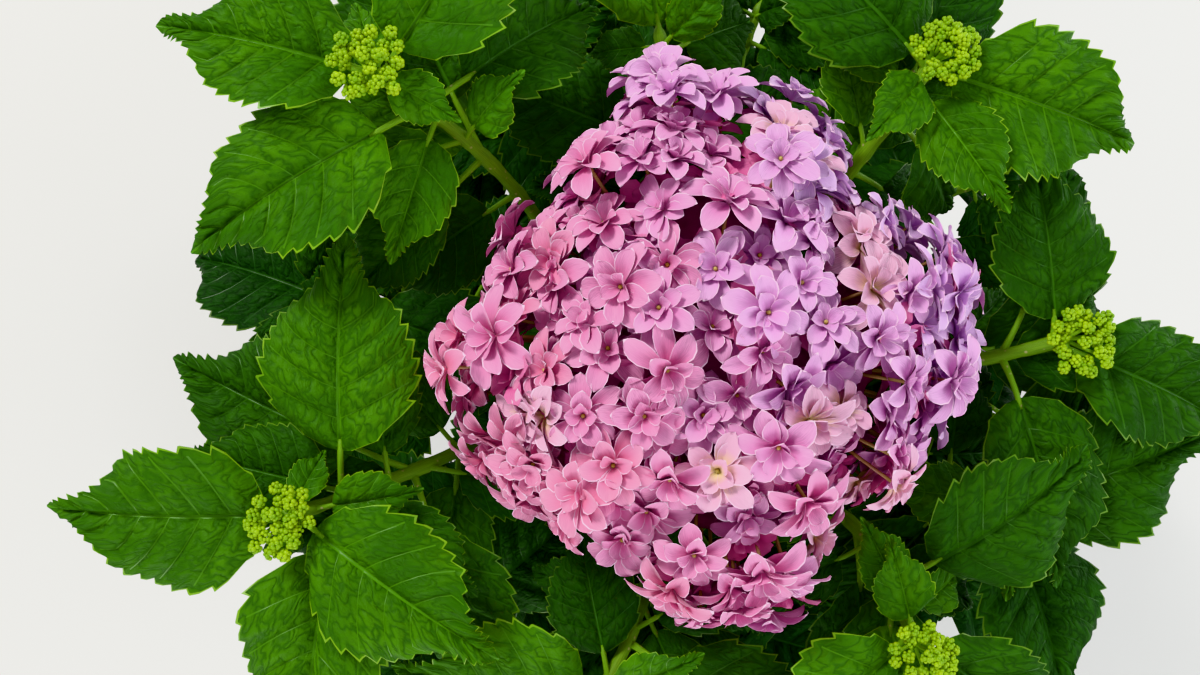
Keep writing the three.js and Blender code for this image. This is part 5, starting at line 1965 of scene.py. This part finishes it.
# Each light: its name, place, what it is aimed at, size, power and colour
LIGHTS = (
    ("key", (-1.5, 1.6, 2.0), (0, 0, 0.4), 0.75, 60.0, (1.0, 0.98, 0.95)),
    ("fill", (1.9, -1.0, 1.9), (0, 0, 0.3), 1.8, 30.0, (0.94, 0.97, 1.0)),
    ("low", (-0.7, -2.2, 0.8), (0, 0, 0.3), 1.6, 34.0, (1.0, 0.98, 0.96)),
    ("side", (2.3, 0.9, 0.8), (0, 0, 0.3), 1.6, 30.0, (0.98, 0.99, 1.0)),
)
SKY_COLOUR = (0.93, 0.96, 1.0, 1.0)
SKY_STRENGTH = 0.54
FLOOR_REACH = 30000.0


def add_light(name, place, aim, size, power, colour):
    light = bpy.data.lights.new(name, "AREA")
    light.shape = "DISK"
    light.size = size
    light.energy = power
    light.color = colour
    holder = placed(name, light)
    holder.location = place
    way = np.array(aim, float) - np.array(place, float)
    flat = math.hypot(way[0], way[1])
    holder.rotation_euler = (math.atan2(flat, -way[2]), 0.0, math.atan2(way[1], way[0]) - math.pi / 2)


def add_studio():
    bpy.context.scene.view_settings.view_transform = "Khronos PBR Neutral"
    world = bpy.data.worlds.new("soft_sky")
    bpy.context.scene.world = world
    world.use_nodes = True
    sky = world.node_tree.nodes["Background"]
    sky.inputs["Color"].default_value = SKY_COLOUR
    sky.inputs["Strength"].default_value = SKY_STRENGTH
    for light in LIGHTS:
        add_light(*light)
    floor = Sheaf()
    corners = [(x * FLOOR_REACH, y * FLOOR_REACH, 0) for x, y in ((-1, -1), (1, -1), (1, 1), (-1, 1))]
    floor.add(corners, [[0, 1, 2, 3]])
    floor.make("floor", [floor_finish()])


def dress(piece, slot_name, *nodes):
    """Says what a piece rides on and which nodes it replaces; slot_name is not used"""
    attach(piece, "root")
    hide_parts(*nodes)


def build():
    add_camera()
    canes, boughs, shoots = grow_limbs()
    leaves = grow_leaves(shoots, canes + boughs + [shoot.twig for shoot in shoots])
    cane_nodes = [f"cane_{i + 1}" for i in range(len(canes))]
    places = [(level, i + 1) for level in ("upper", "lower") for i in range(len(UPPER_SHOOTS))]
    bough_nodes = [f"{level}_bough_{i}" for level, i in places]
    shoot_nodes = [f"{level}_foliage_{i}" for level, i in places] + ["flowering_shoot"]
    budded_nodes = [f"upper_foliage_{shoot.number}" for shoot in shoots if shoot.budded]

    dress(make_pot_wall([plastic_finish("pot_blue")]), "pot_wall", "pot")
    dress(make_pot_lip([plastic_finish("pot_black")]), "pot_lip", "pot")
    dress(make_growing_mix([soft_finish("mix_brown")]), "growing_mix", "growing_mix")
    dress(make_chips(chip_finish()), "growing_mix", "growing_mix")
    bark, wood, young = make_stems(canes, boughs, shoots)
    dress(bark, "cane_bark", *cane_nodes)
    dress(wood, "green_wood", *bough_nodes)
    dress(young, "green_wood", *shoot_nodes)
    for piece, slot_name in make_foliage(leaves):
        dress(piece, slot_name, *shoot_nodes)
    for piece in make_buds(shoots):
        dress(piece, "buds", *budded_nodes)
    florets, inner, hearts, stems, core = make_flower_head()
    for piece in (florets, inner, core):
        dress(piece, "petals", "flower_head")
    dress(hearts, "buds", "flower_head")
    dress(stems, "green_wood", "flower_head")
    add_studio()


build()
